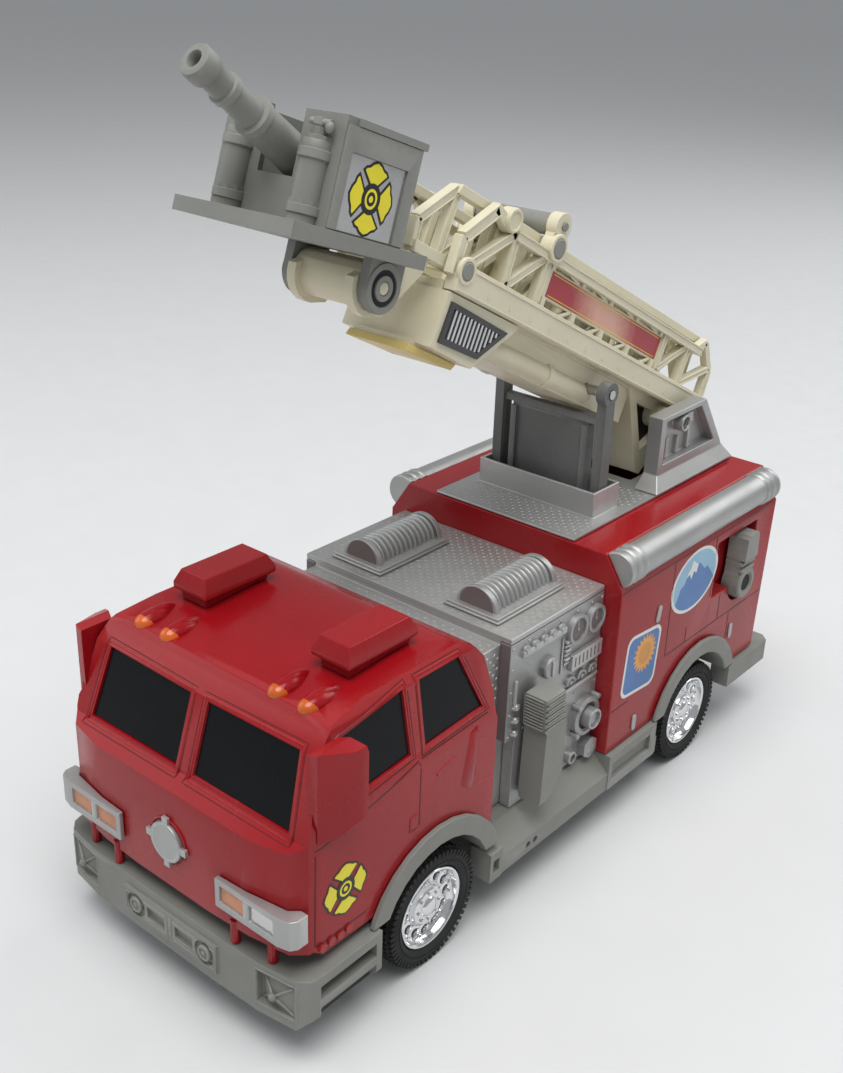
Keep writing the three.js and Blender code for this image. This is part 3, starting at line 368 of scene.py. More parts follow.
def wheel(place_name, side_name, side):
    """A treaded tyre on a chromed rim with oval hand holes, a hub disc and a ring of nuts."""
    body = f"{place_name}_wheels"
    axle = centre(f"{place_name}_axle")
    low, high = (value / MM for value in (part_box(f"tyre_{place_name}_{side_name}")))
    inner, outer = sorted((abs(low.x), abs(high.x)))
    radius = (high.z - low.z) / 2
    at = (0, axle.y, axle.z)
    flank = [(inner, 17.9), (inner, 21), (inner + 0.6, 23.4), (inner + 2.0, 24.8), (inner + 2.6, 25.0)]
    crown = [(outer - 2.6, 25.0), (outer - 2.0, 24.7), (outer - 0.6, 23.3), (outer, 21.6), (outer, 21.2),
             (outer - 0.35, 21.0), (outer - 0.35, 20.2), (outer, 20.0), (outer - 0.2, 19.0),
             (outer - 1.3, 17.9),
             (inner, 17.9)]
    shape = Shape()
    shape.turned("x", [(side * a, r) for a, r in flank + crown], at, 96)
    blocks = 60
    rows = 4
    span = (outer - inner - 4.6) / rows
    for i in range(blocks):
        for row in range(rows):
            turn = 360.0 * (i + 0.5 * (row % 2)) / blocks
            shape.matrix = Matrix.Translation(Vector(at) * MM) @ Matrix.Rotation(math.radians(turn), 4, "X")
            x0 = side * (inner + 2.3 + row * span + 0.25)
            x1 = side * (inner + 2.3 + (row + 1) * span - 0.25)
            shape.box(x0, x1, -0.85, 0.85, 24.6, radius - 0.04)
        shape.matrix = (Matrix.Translation(Vector(at) * MM)
                        @ Matrix.Rotation(math.radians(360.0 * i / blocks), 4, "X"))
        shape.box(side * (outer - 2.2), side * (outer - 0.25), -0.7, 0.7, 22.6, 24.9)
    shape.made(f"tyre_{place_name}_{side_name}_treaded", RUBBER, body, "tyre",
               (f"tyre_{place_name}_{side_name}",))

    rim = Shape()
    dish = [(47, 15.4), (47, 17.6), (62.9, 17.6), (63.4, 17.2), (63.4, 16.4), (62.9, 15.9), (61.0, 15.4),
            (60.2, 14.9),
            (59.9, 14.5)]
    rim.turned("x", [(side * a, r) for a, r in dish], at, 72)
    holes = 12
    steps = 12
    mid = 12.0
    for i in range(holes):
        middle = 360.0 * i / holes
        half = 180.0 / holes
        rim.matrix = Matrix.Translation(Vector(at) * MM) @ Matrix.Rotation(math.radians(middle), 4, "X")
        oval = [(2.25 * math.cos(t), mid + 1.95 * math.sin(t))
                for t in (2 * math.pi * k / (2 * steps) for k in range(2 * steps))]
        edge = []
        for k in range(2 * steps):
            t = 2 * math.pi * k / (2 * steps)
            a = max(-1, min(1, 1.35 * math.cos(t))) * math.radians(half)
            r = mid + max(-1, min(1, 1.35 * math.sin(t))) * 2.7
            edge.append((r * math.sin(a), r * math.cos(a)))
        rings = []
        for points, x in ((edge, 59.9), (oval, 60.3), (oval, 59.2), (oval, 57.2)):
            shrink = 0.86 if x == 59.2 else (0.82 if x == 57.2 else 1.0)
            rings.append([rim.point(side * x, y * shrink, mid + (z - mid) * shrink) for y, z in points])
        for low_ring, high_ring in zip(rings, rings[1:]):
            for k in range(2 * steps):
                j = (k + 1) % (2 * steps)
                rim.mesh.faces.new((low_ring[k], low_ring[j], high_ring[j], high_ring[k]))
    rim.matrix = Matrix()
    hub = [(59.9, 9.2), (60.0, 8.8), (61.6, 8.2), (62.0, 7.6), (62.0, 4.2), (62.6, 3.8), (63.2, 3.0),
           (63.4, 2.0),
           (63.4, 0)]
    rim.turned("x", [(side * a, r) for a, r in hub], at, 48)
    rim.turned("x",
               [(side * 56.8, 15.2), (side * 56.8, 3.4), (side * 47, 3.4), (side * 47, 2.6), (side * 56, 2.6),
                     (side * 56, 0)], at, 48)
    for i in range(8):
        turn = 2 * math.pi * i / 8
        rim.rod("x", 0.75, side * 61.6, side * 62.7,
                (0, at[1] + 6.1 * math.cos(turn), at[2] + 6.1 * math.sin(turn)), 6)
    for i in range(20):
        turn = 2 * math.pi * (i + 0.5) / 20
        rim.rod("x", 0.45, side * 59.6, side * 60.7,
                (0, at[1] + 14.45 * math.cos(turn), at[2] + 14.45 * math.sin(turn)), 8)
    rim.made(f"hub_{place_name}_{side_name}_rim", CHROME, body, "chrome", (f"hub_{place_name}_{side_name}",),
             angle=28)
    dark = Shape()
    dark.turned("x", [(side * 57.0, 15.2), (side * 57.0, 3.5)], at, 48)
    dark.turned("x", [(side * 56.9, 3.5), (side * 56.9, 15.2)], at, 48)
    dark.made(f"hub_{place_name}_{side_name}_shade", BLACK, body, "tyre")


for place_name in ("front", "rear"):
    for side_name, side in SIDES:
        wheel(place_name, side_name, side)

# ---------------------------------------------------------------- plain moulded pieces

ROUNDED = {
    "chassis": 0.5, "front_bumper": 0.7, "fender_front_left": 1.0, "fender_front_right": 1.0,
    "fender_rear_left": 1.0, "fender_rear_right": 1.0, "cab_shell": 1.1, "roof_beacon_left": 0.6,
    "roof_beacon_right": 0.6, "mirror_left": 1.2, "mirror_right": 1.2, "headlight_bezel_left": 0.5,
    "headlight_bezel_right": 0.5, "pump_module": 0.5, "pump_panel_left": 0.35, "pump_panel_right": 0.35,
    "rear_body": 0.8, "deck_plate": 0.4, "turret_cheek_left": 0.5, "turret_cheek_right": 0.5,
    "pump_lever": 0.7, "side_lever": 0.6, "boom_housing": 0.5, "ladder_floor": 0.3, "lift_strut": 0.5,
           "bucket": 0.45,
    "cab_glazing": 0.2, "keeper_bar": 0.4,
}
for name, width in ROUNDED.items():
    refined(name, width)


# ---------------------------------------------------------------- marks that hug a surface

class Skin:
    """Finds points on the outside of a CAD node."""

    def __init__(self, name):
        data = NODES[name].data
        self.tree = BVHTree.FromPolygons([v.co for v in data.vertices], [p.vertices for p in data.polygons])

    def at(self, start, direction):
        hit, normal, _, _ = self.tree.ray_cast(Vector(start) * MM, Vector(direction))
        if hit is None:
            return None
        normal = normal if normal.dot(Vector(direction)) < 0 else -normal
        return hit, normal


def side_start(side):
    return lambda a, b: ((side * 90, a, b), (-side, 0, 0))


def front_start(a, b):
    return (a, -190, b), (0, 1, 0)


def ribbon(shape, skin, aim, path, width, height, closed=False, step=2.0):
    """A low rounded ridge along a path on a surface."""
    dense = []
    points = path + path[:1] if closed else path
    for (a0, b0), (a1, b1) in zip(points, points[1:]):
        parts = max(1, int(math.hypot(a1 - a0, b1 - b0) / step))
        dense += [(a0 + (a1 - a0) * k / parts, b0 + (b1 - b0) * k / parts) for k in range(parts)]
    if not closed:
        dense.append(points[-1])
    found = [skin.at(*aim(a, b)) for a, b in dense]
    found = [hit for hit in found if hit]
    rings = []
    count = len(found)
    for i, (point, normal) in enumerate(found):
        after = found[(i + 1) % count][0] if closed or i + 1 < count else point
        before = found[i - 1][0] if closed or i > 0 else point
        along = (after - before).normalized()
        across = along.cross(normal).normalized()
        section = [(-0.5, -0.15), (-0.36, 0.7), (0, 1.0), (0.36, 0.7), (0.5, -0.15)]
        rings.append([shape.mesh.verts.new(point + across * (w * width * MM) + normal * (h * height * MM))
                      for w, h in section])
    pairs = list(zip(rings, rings[1:]))
    if closed:
        pairs.append((rings[-1], rings[0]))
    for low, high in pairs:
        for k in range(4):
            shape.mesh.faces.new((low[k], low[k + 1], high[k + 1], high[k]))
        shape.mesh.faces.new((low[4], low[0], high[0], high[4]))
    if not closed:
        shape.mesh.faces.new(rings[0])
        shape.mesh.faces.new(rings[-1][::-1])


def flat_frame(origin, across, up):
    """A matrix whose local X and Y lie on a flat face and whose +Z points out of it."""
    across, up = Vector(across).normalized(), Vector(up).normalized()
    out = across.cross(up)
    return Matrix.Translation(Vector(origin) * MM) @ Matrix((across, up, out)).transposed().to_4x4()


def grown(points, distance):
    """An outline moved outwards."""
    count = len(points)
    area = sum(points[i][0] * points[(i + 1) % count][1] - points[(i + 1) % count][0] * points[i][1]
               for i in range(count))
    sign = distance if area > 0 else -distance
    moved = []
    for i, (x, y) in enumerate(points):
        d0 = (Vector((x, y)) - Vector(points[i - 1])).normalized()
        d1 = (Vector(points[(i + 1) % count]) - Vector((x, y))).normalized()
        scale = sign / (1 + d0.dot(d1))
        moved.append((x + (d0.y + d1.y) * scale, y - (d0.x + d1.x) * scale))
    return moved


def turned_points(points, degrees, scale=1.0):
    c, s = math.cos(math.radians(degrees)), math.sin(math.radians(degrees))
    return [((a * c - b * s) * scale, (a * s + b * c) * scale) for a, b in points]


def emblem(name, face, radius, body, squash=1.0):
    """A plain four-armed cross badge: yellow arms with black edges round a black disc with a yellow ring."""
    lobe = [(-1.0, 3.4), (-5.7, 7.5), (-4.9, 8.3), (-3.4, 8.7), (-2.0, 9.8), (0, 10.5), (2.0, 9.8),
            (3.4, 8.7),
            (4.9, 8.3), (5.7, 7.5), (1.0, 3.4)]
    scale = radius / 10.2
    black, yellow = Shape(face), Shape(face)
    fit = lambda points: [(a * squash, b) for a, b in points]
    for quarter in range(4):
        black.prism("z", fit(turned_points(grown(lobe, 0.6), 90 * quarter, scale)), 0, 0.1)
        inner = grown(lobe, -0.2)
        yellow.prism("z", fit(turned_points(inner, 90 * quarter, scale)), 0.02, 0.16)
    black.prism("z", fit(arc(0, 0, 4.6 * scale, 0, 345, 23)), 0, 0.18)
    ring = Shape(face)
    outer, inside = (fit(arc(0, 0, r * scale, 0, 345, 23)) for r in (3.0, 2.1))
    loops = [[ring.point(a, b, 0.22) for a, b in points] for points in (outer, inside)]
    for k in range(24):
        ring.mesh.faces.new((loops[0][k], loops[0][(k + 1) % 24], loops[1][(k + 1) % 24], loops[1][k]))
    ring.prism("z", fit(arc(0, 0, 1.0 * scale, 0, 345, 23)), 0.02, 0.22)
    black.made(name + "_edges", DECAL_BLACK, body, None, ())
    yellow.made(name + "_arms", DECAL_YELLOW, body, None, ())
    ring.made(name + "_ring", DECAL_YELLOW, body, None, ())


def lozenges(name, x_range, y_range, z, body, holes=(), pitch=2.3, size=(0.85, 0.27), slot="silver_paint"):
    """The raised lozenges of tread plate on a level face, turned left and right by turns."""
    shape = Shape()
    columns = int((x_range[1] - x_range[0]) / pitch)
    rows = int((y_range[1] - y_range[0]) / pitch)
    for i in range(columns):
        for k in range(rows):
            x = x_range[0] + (i + 0.5) * (x_range[1] - x_range[0]) / columns
            y = y_range[0] + (k + 0.5) * (y_range[1] - y_range[0]) / rows
            if any(x0 - 0.9 < x < x1 + 0.9 and y0 - 0.9 < y < y1 + 0.9 for x0, x1, y0, y1 in holes):
                continue
            turn = 45 if (i + k) % 2 else -45
            rim = [(-size[0], 0), (0, -size[1]), (size[0], 0), (0, size[1])]
            base = [shape.point(x + a, y + b, z - 0.02) for a, b in turned_points(rim, turn)]
            top = [shape.point(x + a, y + b, z + 0.2) for a, b in turned_points(rim, turn, 0.55)]
            for m in range(4):
                shape.mesh.faces.new((base[m], base[(m + 1) % 4], top[(m + 1) % 4], top[m]))
            shape.mesh.faces.new(top)
            shape.mesh.faces.new(base[::-1])
    shape.made(name, SILVER, body, slot)


# ---------------------------------------------------------------- cab details

CAB = Skin("cab_shell")
WINDSHIELD = [(4.6, 94), (4.6, 121.3), (50.4, 122), (53.6, 94)]
FRONT_WINDOW = [(-158, 99.5), (-150.6, 121), (-145, 125), (-112, 129.3), (-111, 103.2)]
REAR_WINDOW = [(-103, 102.7), (-103, 129.3), (-80.5, 129.3), (-69, 104.3)]


def cab_details():
    ridges, seams = Shape(), Shape()
    for _, side in SIDES:
        aim = side_start(side)
        pane = [(side * a, b) for a, b in WINDSHIELD]
        ribbon(ridges, CAB, front_start, grown(pane, 1.5), 1.1, 0.35, closed=True)
        ribbon(seams, CAB, front_start, grown(pane, 2.5), 0.4, 0.12, closed=True)
        for outline in (FRONT_WINDOW, REAR_WINDOW):
            ribbon(ridges, CAB, aim, grown(outline, 1.4), 1.1, 0.35, closed=True)
            ribbon(seams, CAB, aim, grown(outline, 2.3), 0.4, 0.12, closed=True)
        ribbon(seams, CAB, aim, [(-161.6, 49), (-161.2, 88)], 0.7, 0.15)
        ribbon(seams, CAB, aim, [(-161.4, 90), (-107.6, 99.4)], 0.7, 0.15)
        ribbon(seams, CAB, aim, [(-107.4, 71.5), (-107.4, 98.4)], 0.7, 0.15)
        ribbon(seams, CAB, aim, [(-106, 99.6), (-66.5, 100.8)], 0.7, 0.15)
        ribbon(seams, CAB, aim, [(-161, 49.4), (-136, 49.4)], 0.7, 0.15)
        ribbon(ridges, CAB, aim, [(-112.6, 70.8), (-112.6, 77), (-108.4, 77.6)], 0.8, 0.4)
        ribbon(seams, CAB, aim, [(-112.1, 71), (-108.4, 71)], 0.6, 0.15)
        ribbon(ridges, CAB, aim, [(-98, 89), (-88, 91.6)], 1.6, 0.5)
        for i in range(4):
            ridges.rod("x", 1.7, side * 63, side * 64.9, (0, -158.6 + 4.4 * i, 47.4 + 0.4 * (i % 2)), 20)
        bulge = [(-84, 76), (-79.5, 97.5), (-73.5, 98.5), (-73.5, 78), (-76, 70.5)]
        frame_matrix = flat_frame((side * 64, 0, 0), (0, side, 0), (0, 0, 1))
        ridges.matrix = frame_matrix
        low = [ridges.point(side * y, z, -0.3) for y, z in bulge]
        high = [ridges.point(side * y, z, 0.75) for y, z in grown(bulge, -1.7)]
        for k in range(5):
            ridges.mesh.faces.new((low[k], low[(k + 1) % 5], high[(k + 1) % 5], high[k]))
        ridges.mesh.faces.new(high)
        ridges.matrix = Matrix()
    ring = [(-172.4, 9.9), (-173.0, 9.9), (-173.4, 9.4), (-173.0, 8.8)]
    ridges.turned("y", ring, (0, 0, 68), 48)
    ridges.made("cab_ridges", RED, "truck", "red_plastic")
    seams.made("cab_seams", SEAM_RED, "truck", "red_plastic")


def marker_lamps():
    bodies, lenses = Shape(), Shape()
    for x in (28.8, 43.5):
        for _, side in SIDES:
            bodies.dome((side * x, -139.4, 131.0), (4.4, 8.7, 3.7), 28, 14)
            bodies.dome((side * x, -137.0, 131.9), (2.7, 8.4, 3.3), 24, 12)
            lenses.dome((side * x, -143.6, 130.5), (4.05, 4.7, 3.5), 28, 12)
    bodies.made("marker_lamp_hoods", RED, "truck", "red_plastic")
    lenses.made("marker_lamp_lenses", ORANGE, "truck", "red_plastic")


def headlamps():
    for side_name, side in SIDES:
        bezel = Skin(f"headlight_bezel_{side_name}")
        for index, (low, high) in enumerate(((29.2, 40.8), (44.2, 55.8))):
            shape = Shape()
            columns, rows = 8, 5
            grid = []
            for i in range(columns + 1):
                column = []
                for k in range(rows + 1):
                    x = side * (low + (high - low) * i / columns)
                    z = 57.6 + 6.8 * k / rows
                    point, normal = bezel.at(*front_start(x, z))
                    ripple = 0.25 + 0.18 * ((i + k) % 2)
                    column.append(shape.mesh.verts.new(point + normal * ripple * MM))
                grid.append(column)
            for i in range(columns):
                for k in range(rows):
                    shape.mesh.faces.new((grid[i][k], grid[i + 1][k], grid[i + 1][k + 1], grid[i][k + 1]))
            lens = SILVER_LENS if (side_name == "left" and index == 1) else LENS_PEACH
            shape.made(f"headlamp_lens_{side_name}_{index + 1}", lens, "truck", "silver_paint")


def nose_badge():
    shape = Shape()
    face = [(-172.8, 0), (-172.8, 8.3), (-174.4, 8.3), (-174.8, 7.9), (-174.8, 7.2), (-174.5, 6.9),
            (-174.5, 0)]
    shape.turned("y", face, (0, 0, 68), 64)
    for quarter in range(4):
        shape.matrix = (Matrix.Translation(Vector((0, 0, 68)) * MM)
                        @ Matrix.Rotation(math.radians(90 * quarter), 4, "Y"))
        shape.box(-1.5, 1.5, -174.4, -172.8, 7.6, 10.9)
    shape.made("front_badge_disc", SILVER, "truck", "silver_paint", ("front_badge",), bevel=0.25)


def bumper_details():
    """Ribbed corner lamps with a ball in the middle, fog lamps and edge lines of the centre plate."""
    skin = Skin("front_bumper")
    shape = Shape()
    for _, side in SIDES:
        for z0, z1 in ((22.8, 35.2), (35.2, 22.8)):
            ribbon(shape, skin, front_start, [(side * 46.8, z0), (side * 61.6, z1)], 0.9, 0.5)
        edge = [(45.2, 21.2), (63.2, 21.2), (63.2, 36.8), (45.2, 36.8)]
        ribbon(shape, skin, front_start, [(side * a, b) for a, b in edge], 0.7, 0.3, closed=True)
        shape.dome((side * 54.2, -173.6, 29), (1.6, 1.5, 1.6), 20, 12)
        shape.turned("y", [(-175, 3.3), (-175.5, 3.1), (-175.5, 2.3), (-175, 2.1)], (side * 19.5, 0, 28.5),
                     32)
        shape.dome((side * 19.5, -174.9, 28.5), (1.2, 0.8, 1.2), 16, 8)
        ribbon(shape, skin, front_start, [(side * 1.2, 23), (side * 1.2, 34)], 0.6, 0.3)
        ribbon(shape, skin, front_start, [(side * 2.0, 32.6), (side * 25.2, 32.6), (side * 25.2, 24.2),
                                          (side * 2.0, 24.2)], 0.6, 0.3)
    shape.made("bumper_relief", GRAY, "truck", "gray_plastic")


def cheek_details():
    """A raised ring round each hinge boss and three ribs below it."""
    hinge = centre("boom_pivot_pin")
    shape = Shape()
    for _, side in SIDES:
        ring = [(33.5, 4.3), (35.0, 4.1), (35.0, 3.1), (34.2, 2.9)]
        shape.turned("x", [(side * a, r) for a, r in ring], (0, hinge.y, hinge.z), 40)
        for y, top in ((107, 158), (117, 156.5), (127, 160)):
            shape.box(side * 29.4, side * 31.4, y - 0.9, y + 0.9, 147.8, top)
        shape.box(side * 29.4, side * 32.0, 122.5, 128.5, 161, 166.5)
    shape.made("cheek_relief", SILVER, "truck", "silver_paint", bevel=0.3)


cab_details()
bumper_details()
cheek_details()
marker_lamps()
headlamps()
nose_badge()
for side_name, side in SIDES:
    emblem(f"door_emblem_{side_name}", flat_frame((side * 64.02, -147, 66.4), (0, side, 0), (0, 0, 1)), 10.4,
           "truck")


# ---------------------------------------------------------------- pump module details

def reel(side_name, side):
    """Hose wound on a half-sunk drum between round cheeks, on a stepped foot."""
    low, high = (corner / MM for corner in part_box(f"hose_reel_{side_name}"))
    x, floor = (low.x + high.x) / 2, low.z
    half = (high.x - low.x) / 2
    front, rear = low.y + 6, high.y - 2.6
    foot = Shape()
    foot.box(x - half, x + half, low.y, high.y, floor, floor + 1.0)
    foot.box(x - half + 1.0, x + half - 1.0, low.y + 1.0, high.y - 0.6, floor + 0.9, floor + 2.0)
    foot.made(f"hose_reel_{side_name}_foot", SILVER, "truck", "silver_paint", (f"hose_reel_{side_name}",),
              bevel=0.35)
    roll = Shape()
    ribs = 12
    pitch = (rear - front - 1.6) / ribs
    profile = [(front, 7.7)]
    for i in range(ribs):
        y = front + 0.8 + i * pitch
        profile += [(y + pitch * (0.1 + 0.8 * k / 6),
                     7.7 + 1.7 * math.sin(math.pi * k / 6)) for k in range(7)]
    profile.append((rear, 7.7))
    roll.turned("y", profile, (x, 0, floor + 1.7), 40, 0, 180)
    roll.made(f"hose_reel_{side_name}_roll", SILVER, "truck", "silver_paint", angle=60)
    ends = Shape()
    for y0, y1 in ((front - 2.2, front + 0.6), (rear - 0.6, rear + 2.2)):
        ends.prism("y", [(x + a, floor + 0.6 + b) for a, b in arc(0, 0, 10.5, 0, 180, 40)], y0, y1)
    ends.made(f"hose_reel_{side_name}_ends", SILVER, "truck", "silver_paint", bevel=0.45)


def panel_details(side_name, side):
    """Buttons, gauges with needles, gate valves, capped outlets and rivets on a pump panel."""
    face = side * 56.4
    out = lambda h: face + side * h
    metal, dark = Shape(), Shape()
    for i in range(5):
        y, z = -35.4 + 6.1 * i, 111.9
        metal.box(face, out(1.3), y - 2.3, y + 2.3, z - 1.6, z + 1.4)
        metal.rod("x", 2.3, face, out(1.3), (0, y, z + 1.0), 24)
        metal.rod("x", 1.2, out(1.2), out(2.0), (0, y, z + 0.8), 20)
    for y, r in ((0.5, 6.8), (14.0, 6.4)):
        metal.turned("x", [(out(1.9), r - 0.4), (out(2.6), r - 1.0), (out(2.2), r - 1.7)], (0, y, 108.4), 48)
        dark.rod("x", r - 1.8, out(0.9), out(1.5), (0, y, 108.4), 40)
        metal.box(out(1.4), out(1.75), y - 0.25, y + 0.25, 108.4, 108.4 + r - 2.6)
        metal.rod("x", 0.7, out(1.4), out(1.9), (0, y, 108.4), 16)
    metal.box(face, out(2.4), -3.0, 19.6, 89.2, 96.8)
    for i in range(7):
        y = -0.6 + 2.9 * i
        dark.box(out(2.2), out(2.46), y - 0.5, y + 0.5, 90.8, 95.4)
    for i in range(3):
        y, z = -1.0 + 8.2 * i, 82.6
        metal.turned("x", [(face, 3.4), (out(1.4), 3.4), (out(1.7), 3.0), (out(1.7), 2.2), (out(1.0), 2.0)],
                     (0, y, z), 32, 0, 180)
        metal.rod("x", 1.0, face, out(1.6), (0, y, z + 0.2), 16)
        dark.rod("x", 2.0, out(0.3), out(0.9), (0, y, z + 0.4), 20)
    metal.box(face, out(1.3), -4.6, 19.8, 78.6, 80.2)
    metal.turned("x", [(out(1.9), 5.0), (out(2.8), 4.4), (out(2.8), 0)], (0, -18.5, 97.9), 36)
    metal.box(out(2.6), out(3.5), -19.2, -17.8, 94.2, 101.6)
    for i in range(6):
        z = 93.6 + 2.1 * i
        metal.box(face, out(1.2 + 0.5 * (i % 2)), -7.6, -3.8, z, z + 1.3)
    metal.box(face, out(0.8), -9.0, -8.2, 90.0, 107.2)
    for i in range(3):
        z = 76 + 6.2 * i
        metal.dome((out(0.6), -40.2, z), (1.9, 1.7, 1.7), 16, 8)
        metal.box(face, out(1.4), -42.6, -38.0, z - 0.6, z + 0.6)
    metal.box(face, out(1.3), -41.8, -40.2, 88.4, 101.0)
    metal.turned("x", [(out(2.9), 9.4), (out(3.6), 8.8), (out(3.6), 7.0), (out(2.0), 6.5)], (0, 12, 61), 48)
    for k in range(4):
        turn = math.radians(45 + 90 * k)
        metal.rod("x", 1.3, out(0), out(4.0), (0, 12 + 10.2 * math.cos(turn), 61 + 10.2 * math.sin(turn)), 16)
    metal.turned("x", [(out(0.5), 4.9), (out(7.0), 4.9), (out(7.4), 4.5), (out(7.4), 3.7), (out(3.0), 3.5)],
                 (0, 12, 61), 40)
    dark.rod("x", 3.6, out(0.2), out(3.2), (0, 12, 61), 32)
    metal.turned("x", [(out(4.3), 5.0), (out(4.6), 2.9), (out(3.4), 2.7)], (0, 15, 43.6), 6)
    metal.turned("x", [(face, 3.1), (out(3.2), 3.1), (out(3.6), 2.7), (out(3.6), 1.9), (out(1.5), 1.8)],
                 (0, 2.6, 43.6), 32)
    dark.rod("x", 1.9, out(0.2), out(1.6), (0, 2.6, 43.6), 20)
    dark.rod("x", 2.8, out(3.0), out(4.0), (0, 15, 43.6), 24)
    rivets = [(y, z) for y in (-43.4, 19.6) for z in (75, 85.5, 96, 106.5, 116)]
    rivets += [(y, 116.2) for y in (-33, -22, -11, 1, 12)] + [(y, 75) for y in (-33, -8, 4)]
    for y, z in rivets:
        metal.dome((out(0), y, z), (0.55, 0.7, 0.7), 12, 6)
    metal.made(f"pump_fittings_{side_name}", SILVER, "truck", "silver_paint", bevel=0.18, segments=1)
    dark.made(f"pump_fitting_shadows_{side_name}", PURPLE_GRAY, "truck", "silver_paint")


for side_name, side in SIDES:
    reel(side_name, side)
    panel_details(side_name, side)
module_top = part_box("pump_module")[1].z / MM
reel_holes = []
for side_name, _ in SIDES:
    low, high = (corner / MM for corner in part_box(f"hose_reel_{side_name}"))
    reel_holes.append((low.x, high.x, low.y, high.y))
lozenges("module_roof_lozenges", (-54.5, 54.5), (-43, 19.5), module_top, "truck", reel_holes)
lozenges("step_roof_lozenges", (-49, 49), (-59.5, -47), 117, "truck")


def side_lozenges():
    """Tread plate on the block between the cab and the pump panel."""
    shape = Shape()
    for _, side in SIDES:
        shape.matrix = flat_frame((side * 51, 0, 0), (0, side, 0), (0, 0, 1))
        for i in range(7):
            for k in range(33):
                y, z = -60.4 + 2.3 * i, 40 + 2.3 * k
                rim = [(-0.85, 0), (0, -0.27), (0.85, 0), (0, 0.27)]
                turn = 45 if (i + k) % 2 else -45
                base = [shape.point(side * y + a, z + b, -0.02) for a, b in turned_points(rim, turn)]
                top = [shape.point(side * y + a, z + b, 0.2) for a, b in turned_points(rim, turn, 0.55)]
                for m in range(4):
                    shape.mesh.faces.new((base[m], base[(m + 1) % 4], top[(m + 1) % 4], top[m]))
                shape.mesh.faces.new(top)
    shape.made("module_side_lozenges", SILVER, "truck", "silver_paint")


side_lozenges()


def module_shadow_faces():
    """Painted shade on the front face beside each panel and on the front faces of the reels' front cheeks."""
    shape = Shape()
    for side_name, side in SIDES:
        shape.box(side * 51.2, side * 56.0, -45.12, -44.9, 73.4, 117.8)
        low, high = (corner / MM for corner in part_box(f"hose_reel_{side_name}"))
        x = (low.x + high.x) / 2
        front = low.y + 6 - 2.2
        shape.prism("y", [(x + a, low.z + 2.2 + b) for a, b in arc(0, 0, 8.6, 0, 180, 36)], front - 0.08,
                    front + 0.1)
    shape.made("shaded_front_faces", PURPLE_GRAY, "truck", "silver_paint")


def lever_ribs():
    shape = Shape()
    for i in range(10):
        z = 80.4 + 1.45 * i
        shape.box(59.6, 68.6, -37.5, -36.7, z, z + 0.75)
        shape.box(69.4, 70.2, -35.6, -23.6, z, z + 0.75)
    shape.made("pump_lever_ribs", GRAY, "pump_lever", "gray_plastic", bevel=0.2)


module_shadow_faces()
lever_ribs()


# ---------------------------------------------------------------- rear body details

def rear_body_details():
    skin = Skin("rear_body")
    seams, latches = Shape(), Shape()
    for _, side in SIDES:
        aim = side_start(side)
        for path in (
                [(22.4, 118.9), (160.5, 118.9)], [(66, 118.4), (66, 70.6)], [(66, 70.6), (159, 70.6)],
                [(115, 86.5), (115, 70.6)], [(127, 70.6), (127, 45)], [(104, 118.4), (104, 87)],
                [(22.6, 60), (36, 60)], [(84, 78.4), (84, 71)]):
            ribbon(seams, skin, aim, path, 0.7, 0.15)
        for y, z, turn in ((55.2, 97, -12), (130.9, 58.2, 0), (43.3, 45.4, 0)):
            latches.matrix = flat_frame((side * 65, y, z), (0, side, 0), (0, 0, 1))
            outline = arc(0, 2.6, 1.6, 0, 180, 10) + arc(0, -2.6, 1.6, 180, 360, 10)
            latches.prism("z", turned_points(outline, side * turn), -0.1, 0.7)
    seams.made("body_seams", SEAM_RED, "truck", "red_plastic")
    latches.made("body_latches", SILVER, "truck", "silver_paint", bevel=0.25)
    shutter = Shape()
    for i in range(14):
        z = 48 + 4.6 * i
        hit = skin.at((0, 200, z), (0, -1, 0))
        y = hit[0].y / MM
        shutter.box(-42, 42, y - 0.2, y + 0.5, z, z + 3.6)
    shutter.made("rear_shutter", RED, "truck", "red_plastic", bevel=0.3)
    for _, side in SIDES:
        lamp = Shape()
        hit = skin.at((side * 53, 200, 60), (0, -1, 0))
        y = hit[0].y / MM
        for k in range(3):
            lamp.rod("y", 3.4, y - 0.6, y + 1.2, (side * 53, 0, 54 + 9 * k), 28)
        lamp.made("rear_lamps_" + ("left" if side > 0 else "right"), ORANGE, "truck", "red_plastic",
                  bevel=0.4)


